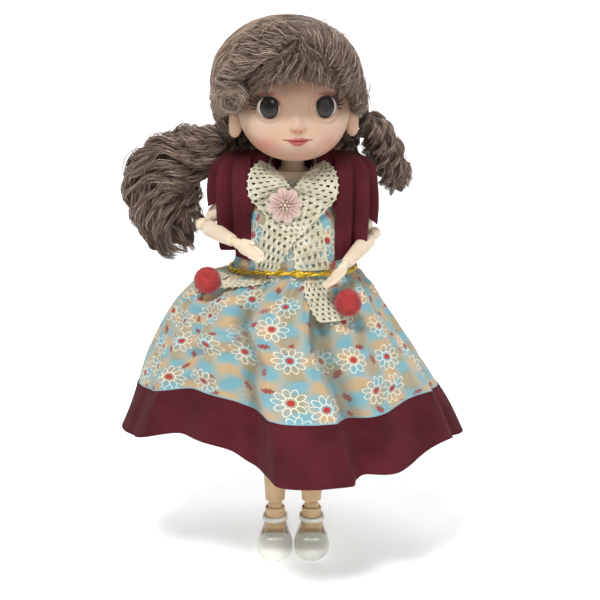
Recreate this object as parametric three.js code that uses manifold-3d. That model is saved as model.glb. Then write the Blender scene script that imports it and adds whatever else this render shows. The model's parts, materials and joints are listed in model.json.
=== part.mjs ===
// A ball-jointed dress-up doll, about 300 mm tall, standing in a printed dress.
// Millimetres, +Z up. The doll faces -Y, so its right side lies at -X.
import * as THREE from 'three';
import { mergeVertices } from 'three/addons/utils/BufferGeometryUtils.js';
import Module from 'manifold-3d';

const wasm = await Module();
wasm.setup();

// Clearances
const FIT = 0.3; // between pieces that touch or turn on each other
const DRAPE = 0.5; // between cloth and what it lies on

// Legs, from the floor to the hips
const ANKLE_HEIGHT = 23;
const CALF_LENGTH = 49;
const THIGH_LENGTH = 63;
const HIP_SPACING = 20.6;
const HIP_BALL_RADIUS = 7;
const KNEE_BALL_RADIUS = 5;
const ANKLE_BALL_RADIUS = 4.2;
const THIGH_RADIUS = 8.2;
const THIGH_END_RADIUS = 6.6;
const CALF_TOP_RADIUS = 6.3;
const CALF_RADIUS = 6.6;
const CALF_END_RADIUS = 5.5;
const HIP_RIM_ANGLE = 60;
const KNEE_RIM_ANGLE = 38;
const ANKLE_RIM_ANGLE = 55;

// Feet and shoes
const FOOT_HALF_WIDTH = 8.2;
const FOOT_TOP = 11;
const FOOT_TOE = 25.5; // ahead of the ankle
const FOOT_HEEL = 11; // behind the ankle
const SHOE_WALL = 1.4;
const SOLE_THICKNESS = 2.2;
const FOOT_POWER = 2.6; // roundness of cross-sections
const SHOE_RISE = 10.5;
const STRAP_HEIGHT = 16.2;
const STRAP_WIDTH = 2.6;
const STRAP_THICKNESS = 0.9;

// Torso, measured up from the hips
const PELVIS_RISE = 3.5; // lower edge above the hip balls' middles, clear of the thighs
const PELVIS_HALF_WIDTH = 20;
const PELVIS_FRONT = 14;
const PELVIS_BACK = 16;
const WAIST_RISE = 27;
const WAIST_HALF_WIDTH = 15.5;
const WAIST_HALF_DEPTH = 11.5;
const CHEST_RISE = 54;
const CHEST_HALF_WIDTH = 19.5;
const CHEST_FRONT = 16.5;
const CHEST_BACK = 13;
const SHOULDER_RISE = 73;
const SHOULDER_SPACING = 44;
const SHOULDER_BACK = 2; // behind the middle of the hips
const COLLAR_RISE = 80;
const COLLAR_RADIUS = 8.5;
const TORSO_WALL = 3;
const BODY_POWER = 2.2; // roundness of level sections: 2 is an ellipse, more is squarer
const PARTING_GAP = 0.3;

// Arms
const UPPER_ARM_LENGTH = 36;
const FOREARM_LENGTH = 36;
const SHOULDER_BALL_RADIUS = 5.6;
const ELBOW_BALL_RADIUS = 3.6;
const WRIST_BALL_RADIUS = 2.3;
const UPPER_ARM_RADIUS = 6.2;
const UPPER_ARM_END_RADIUS = 4.5;
const FOREARM_RADIUS = 4.5;
const FOREARM_END_RADIUS = 3.2;
const SHOULDER_RIM_ANGLE = 60;
const ELBOW_RIM_ANGLE = 28;
const WRIST_RIM_ANGLE = 50;
const SHOULDER_AXLE_RADIUS = 2;
const SHOULDER_AXLE_LENGTH = 5;
const PEG_RADIUS = 1.1;
const PEG_LENGTH = 6;

// Hands
const PALM_LENGTH = 11;
const PALM_WIDTH = 8.6;
const PALM_THICKNESS = 4;
const FINGER_LENGTH = 10;
const FINGER_RADIUS = 1.05;
const THUMB_LENGTH = 8;

// How the arms are held: directions of upper arm, forearm and hand
const RIGHT_ARM = {
  upper: [-26, 1, -22],
  fore: [19, -30.5, -3],
  hand: [15.5, -9, -7],
  thumb: [0, 0, 1],
};
const LEFT_ARM = {
  upper: [22.7, 1, -28.5],
  fore: [-17.3, -31, -11],
  hand: [-12.5, -17.5, -12],
  thumb: [1, 0.2, 0.6],
};

// Neck
const NECK_RADIUS = 6.3;
const NECK_FLANGE_RADIUS = 7.8;
const NECK_FLANGE_THICKNESS = 1.2;
const NECK_PEG_RADIUS = 4.4;
const NECK_PEG_LENGTH = 9;
const NECK_LENGTH = 13.5; // collar to the middle of the neck ball
const NECK_BALL_RADIUS = 7;
const NECK_BACK = 3.5; // behind the middle of the hips
const HEAD_TURN = 4.5; // degrees, towards the doll's left

// Head, measured from its widest level
const HEAD_RISE = 34; // above the neck ball
const HEAD_FORWARD = 2; // ahead of the neck ball
const HEAD_HALF_WIDTH = 31.5;
const HEAD_HALF_DEPTH = 32.3;
const CHIN_DROP = 39;
const CROWN_RISE = 32;
const CHIN_FORWARD = 12.5;
const FACE_POWER = 2.3; // roundness of level sections of the head
const CHEEK_POWER = 2.2; // of its outline from the front, above the widest level
const JAW_POWER = 2.45; // and below it
const PROFILE_POWER = 2.8; // of its profile below the widest level
const HEAD_WALL = 2.4;
const HEAD_SPLIT = 13; // parting of face and skull cap, behind the middle
const NECK_HOLE_RADIUS = 8.8;
const NECK_CUP_LIP = 2; // reach of the head's cup below the middle of the neck ball
const EYE_RADIUS = 8;
const EYE_OPENING_RADIUS = 6.3;
const EYE_SPACING = 30;
const EYE_DROP = 9;
const EYE_TURN = 17; // degrees that each eye looks outwards
const EYE_BULGE = 0.2; // eye dome ahead of the face surface
const LASH_WIDTH = 0.7;
const NOSE_DROP = 19.5;
const NOSE_RADIUS = 2.6;
const MOUTH_DROP = 26.3;
const MOUTH_HALF_WIDTH = 6.2;
const EAR_DROP = 13;
const EAR_HEIGHT = 13;
const EAR_REACH = 3.4;
const EAR_DEPTH = 6.4;
const EAR_FORWARD = 4;

// Hair
const CAP_THICKNESS = 1.2;
const HAIR_HALF_WIDTH = 41.5;
const HAIR_HALF_DEPTH = 40;
const HAIR_CROWN_RISE = 37.5;
const HAIR_SIDE_SHIFT = -3;
const HAIR_BACK_SHIFT = 2;
const HAIR_DROP = 50; // to the lowest point of the crown's form, below the nape
const HAIR_NAPE_DROP = 33;
const HAIR_LUMPS = 9;
const HAIR_LUMP_HEIGHT = 1.1;
const FACE_WINDOW_HALF_WIDTH = 28.5;
const FACE_WINDOW_RISE = 21;
const FACE_WINDOW_BACK = 1; // rear edge of the face opening, behind the middle
const FRINGE_BOTTOM_RISE = 3.5;
const FRINGE_RADIUS = 9;
const TIE_RADIUS = 7;
const TIE_THICKNESS = 2;
const TIE_SLACK = 1.4; // between the tie and the hair in it

// Dress
const BODICE_HALF_WIDTH = 32.5; // at the waist
const BODICE_HALF_DEPTH = 25;
const BODICE_THICKNESS = 0.8;
const ARMHOLE_RADIUS = 10.8;
const ARMHOLE_INSET = 15;
const ARMHOLE_DROP = 2; // its middle below the shoulder
const BELT_RADIUS = 1.2;
const BELT_RISE = 1.8;
const SKIRT_LENGTH = 97;
const SKIRT_FLARE_WIDTH = 60;
const SKIRT_FLARE_FRONT = 48;
const SKIRT_FLARE_BACK = 60; // fuller behind, clear of a raised foot
const SKIRT_LEAN = 8.5; // the puff on the doll's right side
const SKIRT_FOLDS = 12;
const SKIRT_FOLD_HEIGHT = 3.6;
const SKIRT_THICKNESS = 1;
const HEM_WIDTH = 29;
const HEM_SIDE_LIFT = 4;
// Where the skirt is drawn up: direction in degrees, half-angle, rise of the hem, share drawn inwards.
const SKIRT_SWAGS = [
  { angle: -127, spread: 27, rise: 16, drawn: 0.27 },
  { angle: 180, spread: 28, rise: 3.5, drawn: 0 },
  { angle: -28, spread: 14, rise: 7, drawn: 0.05 },
  { angle: -90, spread: 30, rise: 2, drawn: 0 },
];
// The broad fold down the front and the hollows beside it: direction, half-angle and height at the hem.
const FRONT_FOLDS = [
  { angle: -87, spread: 15, height: 6.5 },
  { angle: -110, spread: 9, height: -3 },
  { angle: -63, spread: 9, height: -3 },
];
const FLOUNCE_REACH = 22.5; // outwards from the shoulder seam
const FLOUNCE_DEPTH = 15; // to the front and the back
const FLOUNCE_RISE = 17; // top of the puff above the shoulder
const FLOUNCE_DROP = 33; // inner hem below the shoulder
const FLOUNCE_SWEEP = 88; // degrees, to the front and the back of straight outwards
const FLOUNCE_FOLDS = 6;
const FLOUNCE_PUFF = [[0.12, 0.9], [0.45, 0.96], [0.8, 0.84], [1, 0.5]]; // shares of reach and rise
const FLOUNCE_THICKNESS = 0.8;

// Lace, flower and pompoms
const LACE_WIDTH = 19;
const LACE_THICKNESS = 0.9;
const FLOWER_RADIUS = 9.6;
const FLOWER_THICKNESS = 2;
const FLOWER_PETALS = 6;
const POMPOM_RADIUS = 7.6;
const UNDER_LIFT = LACE_THICKNESS / 2 + DRAPE; // the doll's right strip, next to the bodice
const OVER_LIFT = UNDER_LIFT + LACE_THICKNESS + DRAPE; // the left strip, crossing over it
const LAPEL_BACK = 8; // ahead of this the strips lie over the bodice
const STRIP_REST = 7; // least height of the strips above the shoulders
// Where each strip ends at the belt: its middle and half its width there.
const STRIP_ENDS = {
  right: { middle: BODICE_HALF_WIDTH * 0.323, half: LACE_WIDTH * 0.447 },
  left: { middle: -BODICE_HALF_WIDTH * 0.446, half: LACE_WIDTH * 0.29 },
};
const FLOWER_SIDE = -4;
const FLOWER_DROP = -13.5; // from the collar
const FLOWER_LEAN = 14; // degrees
// Loose ends: direction round the waist, half-angle, and shares of the skirt's length.
// Each pompom lies beside its tail, at a direction and a share of its own.
const TAILS = {
  right: { angle: -158, spread: 9, from: 0.01, to: 0.08, pompom: { angle: -139, share: 0.08 } },
  left: { angle: -67, spread: 9, from: 0.01, to: 0.2, pompom: { angle: -52, share: 0.14 } },
};

// Heights that follow from the sizes above
const hipHeight = ANKLE_HEIGHT + CALF_LENGTH + THIGH_LENGTH;
const waistHeight = hipHeight + WAIST_RISE;
const shoulderHeight = hipHeight + SHOULDER_RISE;
const collarHeight = hipHeight + COLLAR_RISE;

const radians = THREE.MathUtils.degToRad;
const vector = (x, y, z) => new THREE.Vector3(x, y, z);
const down = vector(0, 0, -1);

// Solids: welding, cutting and joining

function weld(geometry) {
  geometry.deleteAttribute('normal');
  geometry.deleteAttribute('uv');
  const welded = mergeVertices(geometry, 1e-4);
  const corners = welded.index.array;
  const kept = [];
  for (let i = 0; i < corners.length; i += 3) {
    const [a, b, c] = corners.slice(i, i + 3);
    if (a !== b && b !== c && c !== a) kept.push(a, b, c);
  }
  welded.setIndex(kept);
  return facingOut(welded);
}

function facingOut(geometry) {
  const place = geometry.attributes.position;
  const corners = geometry.index.array;
  const [a, b, c] = [vector(0, 0, 0), vector(0, 0, 0), vector(0, 0, 0)];
  let volume = 0;
  for (let i = 0; i < corners.length; i += 3) {
    a.fromBufferAttribute(place, corners[i]);
    b.fromBufferAttribute(place, corners[i + 1]);
    c.fromBufferAttribute(place, corners[i + 2]);
    volume += a.dot(b.cross(c));
  }
  if (volume < 0) geometry.setIndex(Array.from(corners).reverse());
  return geometry;
}

function solidOf(geometry) {
  const welded = weld(geometry.clone());
  return new wasm.Manifold(new wasm.Mesh({
    numProp: 3,
    vertProperties: Float32Array.from(welded.attributes.position.array),
    triVerts: Uint32Array.from(welded.index.array),
  }));
}

function geometryOf(solid) {
  const mesh = solid.getMesh();
  const geometry = new THREE.BufferGeometry();
  geometry.setAttribute('position', new THREE.BufferAttribute(mesh.vertProperties, 3));
  geometry.setIndex(new THREE.BufferAttribute(mesh.triVerts, 1));
  return geometry;
}

function combine(first, others, action) {
  const result = others.reduce((body, other) => body[action](solidOf(other)), solidOf(first));
  return geometryOf(result);
}

const cut = (body, ...tools) => combine(body, tools, 'subtract');
const join = (body, ...others) => combine(body, others, 'add');
const keep = (body, ...regions) => combine(body, regions, 'intersect');
const moved = (geometry, x, y, z) => geometry.clone().translate(x, y, z);
const scaled = (geometry, factor) => geometry.clone().scale(factor, factor, factor);

// All the room below a height.
function below(height) {
  const size = 300;
  return moved(new THREE.BoxGeometry(size, size, size), 0, 0, height - size / 2);
}

// Skins through rings and grids of points

function skin(points, quads, fans) {
  const geometry = new THREE.BufferGeometry().setFromPoints(points);
  const corners = quads.flatMap(([a, b, c, d]) => [a, b, c, a, c, d]);
  geometry.setIndex([...corners, ...fans.flat()]);
  return weld(geometry);
}

function ringQuads(first, second, count, quads) {
  for (let j = 0; j < count; j += 1) {
    const next = (j + 1) % count;
    quads.push([first + j, first + next, second + next, second + j]);
  }
}

// A closed form through rings of equal point counts, with flat or pointed ends.
function loft(rings) {
  const count = rings[0].length;
  const points = rings.flat();
  const quads = [];
  const fans = [];
  for (let i = 0; i + 1 < rings.length; i += 1) ringQuads(i * count, (i + 1) * count, count, quads);
  [rings[0], rings.at(-1)].forEach((ring, end) => {
    const middle = ring.reduce((sum, point) => sum.add(point), vector(0, 0, 0)).divideScalar(count);
    const start = end * (rings.length - 1) * count;
    points.push(middle);
    for (let j = 0; j < count; j += 1) {
      const edge = [start + j, start + ((j + 1) % count)];
      fans.push([points.length - 1, ...(end ? edge : edge.reverse())]);
    }
  });
  return skin(points, quads, fans);
}

// A tube of cloth: an outer and an inner wall through rings, joined at both rims.
function sleeve(outer, inner) {
  const count = outer[0].length;
  const walls = [...outer, ...inner.slice().reverse()];
  const quads = [];
  for (let i = 0; i < walls.length; i += 1) {
    ringQuads(i * count, ((i + 1) % walls.length) * count, count, quads);
  }
  return skin(walls.flat(), quads, []);
}

// A sheet of even thickness through a grid of points, rows of equal length.
function sheet(rows, thickness) {
  const tall = rows.length;
  const wide = rows[0].length;
  const at = (i, j) => rows[Math.min(Math.max(i, 0), tall - 1)][Math.min(Math.max(j, 0), wide - 1)];
  const faces = [[], []];
  for (let i = 0; i < tall; i += 1) {
    for (let j = 0; j < wide; j += 1) {
      const along = at(i + 1, j).clone().sub(at(i - 1, j));
      const across = at(i, j + 1).clone().sub(at(i, j - 1));
      const offset = along.cross(across).setLength(thickness / 2);
      faces[0].push(at(i, j).clone().add(offset));
      faces[1].push(at(i, j).clone().sub(offset));
    }
  }
  const back = tall * wide;
  const quads = [];
  for (let i = 0; i + 1 < tall; i += 1) {
    for (let j = 0; j + 1 < wide; j += 1) {
      const a = i * wide + j;
      quads.push([a, a + 1, a + wide + 1, a + wide]);
      quads.push([back + a, back + a + wide, back + a + wide + 1, back + a + 1]);
    }
  }
  const rim = [];
  for (let j = 0; j < wide; j += 1) rim.push(j);
  for (let i = 1; i < tall; i += 1) rim.push(i * wide + wide - 1);
  for (let j = wide - 2; j >= 0; j -= 1) rim.push((tall - 1) * wide + j);
  for (let i = tall - 2; i > 0; i -= 1) rim.push(i * wide);
  rim.forEach((a, k) => {
    const b = rim[(k + 1) % rim.length];
    quads.push([b, a, back + a, back + b]);
  });
  return skin(faces.flat(), quads, []);
}

function roundPower(value, power) {
  return Math.sign(value) * Math.abs(value) ** (2 / power);
}

// One level ring of a body that is deeper or shallower to the front than to the back.
function bodyRing({ z, halfWidth, front, back, x = 0, y = 0, sides = 24, power = BODY_POWER }) {
  const ring = [];
  for (let k = 0; k < sides; k += 1) {
    const angle = (2 * Math.PI * k) / sides;
    const reach = Math.sin(angle) < 0 ? front : back;
    ring.push(vector(
      x + halfWidth * roundPower(Math.cos(angle), power),
      y + reach * roundPower(Math.sin(angle), power),
      z,
    ));
  }
  return ring;
}

// Turned forms and balls

function turned(outline, sides) {
  const geometry = new THREE.LatheGeometry(outline.map(([r, z]) => new THREE.Vector2(r, z)), sides);
  return weld(geometry.rotateX(Math.PI / 2));
}

function ball(radius, columns = 10, rows = 7) {
  return weld(new THREE.SphereGeometry(radius, columns, rows).rotateX(Math.PI / 2));
}

// A hollow's cutting ball, wide enough for its facets to clear a round ball of that radius.
function socket(radius, columns = 10, rows = 7) {
  const reach = (radius + FIT) / Math.cos(Math.PI / columns) / Math.cos(Math.PI / 2 / rows);
  return ball(reach, columns, rows);
}

function ellipsoid(rx, ry, rz, columns = 8, rows = 6) {
  return ball(1, columns, rows).scale(rx, ry, rz);
}

// A round rod from one point to another.
function rod(from, to, radius, sides = 8) {
  const span = to.clone().sub(from);
  const geometry = new THREE.CylinderGeometry(radius, radius, span.length(), sides);
  geometry.applyQuaternion(new THREE.Quaternion().setFromUnitVectors(vector(0, 1, 0), span.clone().normalize()));
  const middle = from.clone().lerp(to, 0.5);
  return weld(geometry.translate(middle.x, middle.y, middle.z));
}

// A joint ball with a peg that holds it in one of its two neighbours.
function peggedBall(radius, direction, pegRadius, pegLength) {
  const tip = direction.clone().setLength(radius + pegLength);
  return join(ball(radius), rod(vector(0, 0, 0), tip, pegRadius));
}

function pegHole(radius, direction, pegRadius, pegLength) {
  const tip = direction.clone().setLength(radius + pegLength + FIT);
  return rod(vector(0, 0, 0), tip, (pegRadius + FIT) / Math.cos(Math.PI / 8));
}

// A limb along -Z between two joint balls, hollowed at both ends for the balls.
// Its ends taper as cones whose rims let the joint bend.
function limb({ length, top, end, radii, sides = 10 }) {
  const cone = (joint, radius) => radius / Math.tan(radians(joint.angle));
  const rim = (joint) => [
    (joint.ball + FIT) * Math.sin(radians(joint.angle)),
    (joint.ball + FIT) * Math.cos(radians(joint.angle)),
  ];
  const [topRadius, middleRadius, endRadius] = radii;
  const from = cone(top, topRadius);
  const to = length - cone(end, endRadius);
  const side = new THREE.SplineCurve([
    new THREE.Vector2(topRadius, from),
    new THREE.Vector2(middleRadius, from + (to - from) * 0.42),
    new THREE.Vector2(endRadius, to),
  ]).getPoints(4);
  const [topRim, topStart] = rim(top);
  const [endRim, endStart] = rim(end);
  const outline = [
    [0, topStart],
    [topRim, topStart],
    ...side.map(({ x, y }) => [x, y]),
    [endRim, length - endStart],
    [0, length - endStart],
  ].map(([r, depth]) => [r, -depth]);
  const holes = [socket(top.ball), moved(socket(end.ball), 0, 0, -length)];
  if (end.peg) holes.push(moved(pegHole(end.ball, vector(0, 0, 1), PEG_RADIUS, PEG_LENGTH), 0, 0, -length));
  return cut(turned(outline, sides), ...holes);
}

// Scene graph helpers

function plastic(colour, roughness = 0.45) {
  return new THREE.MeshStandardMaterial({ color: colour, roughness, metalness: 0 });
}

function cloth(colour) {
  return new THREE.MeshStandardMaterial({ color: colour, roughness: 0.9, metalness: 0 });
}

const finishes = {
  face: () => plastic(0xe4cab3, 0.5),
  skin: () => plastic(0xe6d5b9, 0.5),
  leg: () => plastic(0xd2b78f, 0.5),
  eye: () => plastic(0x1c120e, 0.08),
  lash: () => plastic(0x17110f, 0.6),
  bracket: () => plastic(0xd8d4cc, 0.6),
  hair: () => cloth(0x55463e),
  wigNet: () => cloth(0x3a2f2a),
  print: () => cloth(0x8fb6bc),
  burgundy: () => cloth(0x69343c),
  lace: () => cloth(0xe1dcc3),
  flower: () => cloth(0xd9b3ad),
  felt: () => cloth(0x963b3a),
  gold: () => new THREE.MeshStandardMaterial({ color: 0xc2a13c, roughness: 0.35, metalness: 0.8 }),
  shoe: () => plastic(0xdde0d6, 0.4),
  tie: () => cloth(0x2b2320),
};

function piece(name, geometry, finish) {
  const mesh = new THREE.Mesh(geometry, finishes[finish]());
  mesh.name = name;
  return mesh;
}

function jointGroup(name, parent, x, y, z) {
  const group = new THREE.Group();
  group.name = name;
  group.position.set(x, y, z);
  parent.add(group);
  return group;
}

const doll = new THREE.Group();
const torso = jointGroup('torso', doll, 0, 0, 0);

// Torso: two moulded halves around the shoulder, hip and neck sockets

function torsoRing(rise, halfWidth, front, back) {
  return bodyRing({ z: hipHeight + rise, halfWidth, front, back, sides: 16 });
}

const torsoForm = loft([
  torsoRing(PELVIS_RISE, PELVIS_HALF_WIDTH, PELVIS_FRONT, PELVIS_BACK),
  torsoRing(WAIST_RISE * 0.5, PELVIS_HALF_WIDTH * 0.97, PELVIS_FRONT * 0.96, PELVIS_BACK * 0.94),
  torsoRing(WAIST_RISE, WAIST_HALF_WIDTH, WAIST_HALF_DEPTH, WAIST_HALF_DEPTH),
  torsoRing((WAIST_RISE + CHEST_RISE) / 2, WAIST_HALF_WIDTH * 1.1, CHEST_FRONT * 0.79, CHEST_BACK * 0.92),
  torsoRing(CHEST_RISE, CHEST_HALF_WIDTH, CHEST_FRONT, CHEST_BACK),
  torsoRing(SHOULDER_RISE - 7, CHEST_HALF_WIDTH * 0.97, CHEST_FRONT * 0.85, CHEST_BACK),
  torsoRing(SHOULDER_RISE, CHEST_HALF_WIDTH * 0.97, CHEST_FRONT * 0.67, CHEST_BACK * 0.96),
  torsoRing(SHOULDER_RISE + 4, CHEST_HALF_WIDTH * 0.72, CHEST_FRONT * 0.52, CHEST_BACK * 0.92),
  torsoRing(COLLAR_RISE, COLLAR_RADIUS, COLLAR_RADIUS - NECK_BACK, COLLAR_RADIUS + NECK_BACK),
]);

function torsoHollow() {
  const bottom = hipHeight + HIP_BALL_RADIUS + TORSO_WALL * 2;
  const top = shoulderHeight - SHOULDER_BALL_RADIUS - TORSO_WALL * 2;
  const inset = (z, halfWidth, depth) => bodyRing({
    z,
    halfWidth: halfWidth - TORSO_WALL,
    front: depth - TORSO_WALL,
    back: depth - TORSO_WALL,
    sides: 10,
  });
  return loft([
    inset(bottom, WAIST_HALF_WIDTH, WAIST_HALF_DEPTH),
    inset(waistHeight, WAIST_HALF_WIDTH, WAIST_HALF_DEPTH),
    inset(top, WAIST_HALF_WIDTH, CHEST_BACK * 0.92),
  ]);
}

function halfSpace(sign) {
  const size = 400;
  const box = new THREE.BoxGeometry(size, size, size);
  return box.translate(0, sign * (size / 2 + PARTING_GAP / 2), hipHeight);
}

function makeTorso() {
  const sockets = [1, -1].flatMap((side) => [
    moved(socket(SHOULDER_BALL_RADIUS), (side * SHOULDER_SPACING) / 2, SHOULDER_BACK, shoulderHeight),
    moved(
      pegHole(SHOULDER_BALL_RADIUS, vector(-side, 0, 0), SHOULDER_AXLE_RADIUS, SHOULDER_AXLE_LENGTH),
      (side * SHOULDER_SPACING) / 2, SHOULDER_BACK, shoulderHeight,
    ),
    moved(socket(HIP_BALL_RADIUS), (side * HIP_SPACING) / 2, 0, hipHeight),
  ]);
  const neckHole = rod(
    vector(0, NECK_BACK, collarHeight - NECK_PEG_LENGTH - FIT),
    vector(0, NECK_BACK, collarHeight + FIT),
    (NECK_PEG_RADIUS + FIT) / Math.cos(Math.PI / 16),
    16,
  );
  const body = cut(torsoForm, torsoHollow(), neckHole, ...sockets);
  torso.add(piece('torso_front', keep(body, halfSpace(-1)), 'skin'));
  torso.add(piece('torso_back', keep(body, halfSpace(1)), 'skin'));
}

makeTorso();

// Legs: hip ball, thigh, knee, calf, ankle, foot, shoe and strap

const hipJoint = { ball: HIP_BALL_RADIUS, angle: HIP_RIM_ANGLE };
const kneeJoint = { ball: KNEE_BALL_RADIUS, angle: KNEE_RIM_ANGLE };
const ankleJoint = { ball: ANKLE_BALL_RADIUS, angle: ANKLE_RIM_ANGLE };

function footRing(y, halfWidth, bottom, top) {
  const ring = [];
  const sides = 10;
  for (let k = 0; k < sides; k += 1) {
    const angle = (2 * Math.PI * k) / sides;
    const middle = (bottom + top) / 2;
    const half = (top - bottom) / 2;
    ring.push(vector(
      halfWidth * roundPower(Math.cos(angle), FOOT_POWER),
      y,
      middle + half * roundPower(Math.sin(angle), FOOT_POWER),
    ));
  }
  return ring;
}

// The foot and, grown by an offset, the inside and the outside of its shoe.
function footForm(grow, bottom) {
  const stations = [
    [FOOT_HEEL, 0.35, 0.62],
    [FOOT_HEEL * 0.8, 0.62, 0.86],
    [0, 0.74, 1],
    [-FOOT_TOE * 0.45, 0.97, 0.9],
    [-FOOT_TOE * 0.75, 0.95, 0.7],
    [-FOOT_TOE * 0.94, 0.7, 0.56],
    [-FOOT_TOE, 0.35, 0.44],
  ];
  const rise = FOOT_TOP - SOLE_THICKNESS - FIT;
  return loft(stations.map(([y, width, height]) => footRing(
    y + Math.sign(y) * grow,
    FOOT_HALF_WIDTH * width + grow,
    bottom,
    SOLE_THICKNESS + FIT + rise * height + grow,
  )));
}

function makeFoot() {
  const ankleTop = ANKLE_HEIGHT - (ANKLE_BALL_RADIUS + FIT) * Math.cos(radians(ANKLE_RIM_ANGLE));
  const rimRadius = (ANKLE_BALL_RADIUS + FIT) * Math.sin(radians(ANKLE_RIM_ANGLE));
  const column = turned([
    [0, FOOT_TOP / 2],
    [CALF_END_RADIUS * 1.05, FOOT_TOP / 2],
    [CALF_END_RADIUS, STRAP_HEIGHT],
    [rimRadius + 1, ankleTop],
    [0, ankleTop],
  ], 12);
  const foot = join(footForm(0, SOLE_THICKNESS + FIT), column);
  return cut(foot, moved(socket(ANKLE_BALL_RADIUS), 0, 0, ANKLE_HEIGHT));
}

function makeShoe() {
  const outside = footForm(SHOE_WALL + FIT, -SOLE_THICKNESS);
  const inside = footForm(FIT, SOLE_THICKNESS);
  const size = 100;
  const above = new THREE.BoxGeometry(size, size, size);
  const throatFront = -FOOT_TOE * 0.5;
  const throat = moved(above, 0, throatFront + size / 2, SHOE_RISE + size / 2);
  const throatRound = moved(
    new THREE.CylinderGeometry(FOOT_HALF_WIDTH * 0.82, FOOT_HALF_WIDTH * 0.82, size, 12).rotateX(Math.PI / 2),
    0, throatFront, SHOE_RISE + size / 2 - 3,
  );
  const column = moved(new THREE.CylinderGeometry(
    CALF_END_RADIUS * 1.05 + FIT * 2, CALF_END_RADIUS * 1.05 + FIT * 2, size, 12,
  ).rotateX(Math.PI / 2), 0, 0, FOOT_TOP / 2 - FIT + size / 2);
  return cut(outside, below(0), inside, throat, throatRound, column);
}

// The ankle strap, a closed band with a back tab down to the heel of the shoe.
function makeStrap() {
  const inner = CALF_END_RADIUS * 1.03 + FIT;
  const band = turned([
    [inner, STRAP_HEIGHT - STRAP_WIDTH / 2],
    [inner + STRAP_THICKNESS, STRAP_HEIGHT - STRAP_WIDTH / 2],
    [inner + STRAP_THICKNESS, STRAP_HEIGHT + STRAP_WIDTH / 2],
    [inner, STRAP_HEIGHT + STRAP_WIDTH / 2],
    [inner, STRAP_HEIGHT - STRAP_WIDTH / 2],
  ], 14);
  const tabDrop = STRAP_HEIGHT - SHOE_RISE - FIT;
  const tab = moved(
    new THREE.BoxGeometry(STRAP_WIDTH * 1.4, STRAP_THICKNESS * 1.6, tabDrop),
    0, inner + STRAP_THICKNESS, STRAP_HEIGHT - tabDrop / 2,
  );
  return join(band, tab);
}

function makeLeg(sideName, sign) {
  const hip = jointGroup(`hip_${sideName}`, torso, (sign * HIP_SPACING) / 2, 0, hipHeight);
  const knee = jointGroup(`knee_${sideName}`, hip, 0, 0, -THIGH_LENGTH);
  const ankle = jointGroup(`ankle_${sideName}`, knee, 0, 0, -CALF_LENGTH);
  const named = (name, geometry, finish) => piece(`${name}_${sideName}`, geometry, finish);
  const up = vector(0, 0, 1);
  hip.add(named('hip_ball', ball(HIP_BALL_RADIUS), 'leg'));
  hip.add(named('thigh', limb({
    length: THIGH_LENGTH,
    top: hipJoint,
    end: { ...kneeJoint, peg: true },
    radii: [THIGH_RADIUS, THIGH_RADIUS * 0.97, THIGH_END_RADIUS],
  }), 'leg'));
  knee.add(named('knee_peg', peggedBall(KNEE_BALL_RADIUS, up, PEG_RADIUS, PEG_LENGTH), 'leg'));
  knee.add(named('calf', limb({
    length: CALF_LENGTH,
    top: kneeJoint,
    end: { ...ankleJoint, peg: true },
    radii: [CALF_TOP_RADIUS, CALF_RADIUS, CALF_END_RADIUS],
  }), 'leg'));
  ankle.add(named('ankle_peg', peggedBall(ANKLE_BALL_RADIUS, up, PEG_RADIUS, PEG_LENGTH), 'leg'));
  [['foot', makeFoot, 'leg'], ['shoe', makeShoe, 'shoe'], ['shoe_strap', makeStrap, 'shoe']]
    .forEach(([name, make, finish]) => {
      ankle.add(named(name, make().translate(0, 0, -ANKLE_HEIGHT), finish));
    });
}

makeLeg('right', -1);
makeLeg('left', 1);

// Arms: shoulder ball, upper arm, elbow, forearm, wrist and hand

const shoulderJoint = { ball: SHOULDER_BALL_RADIUS, angle: SHOULDER_RIM_ANGLE };
const elbowJoint = { ball: ELBOW_BALL_RADIUS, angle: ELBOW_RIM_ANGLE };
const wristJoint = { ball: WRIST_BALL_RADIUS, angle: WRIST_RIM_ANGLE };

// A finger from a knuckle, tapering to a rounded tip.
function finger(from, direction, length, radius) {
  const form = turned([
    [0, 0],
    [radius, 0],
    [radius, -length * 0.55],
    [radius * 0.8, -length * 0.92],
    [0, -length],
  ], 6);
  form.applyQuaternion(new THREE.Quaternion().setFromUnitVectors(down, direction.clone().normalize()));
  return form.translate(from.x, from.y, from.z);
}

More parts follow.
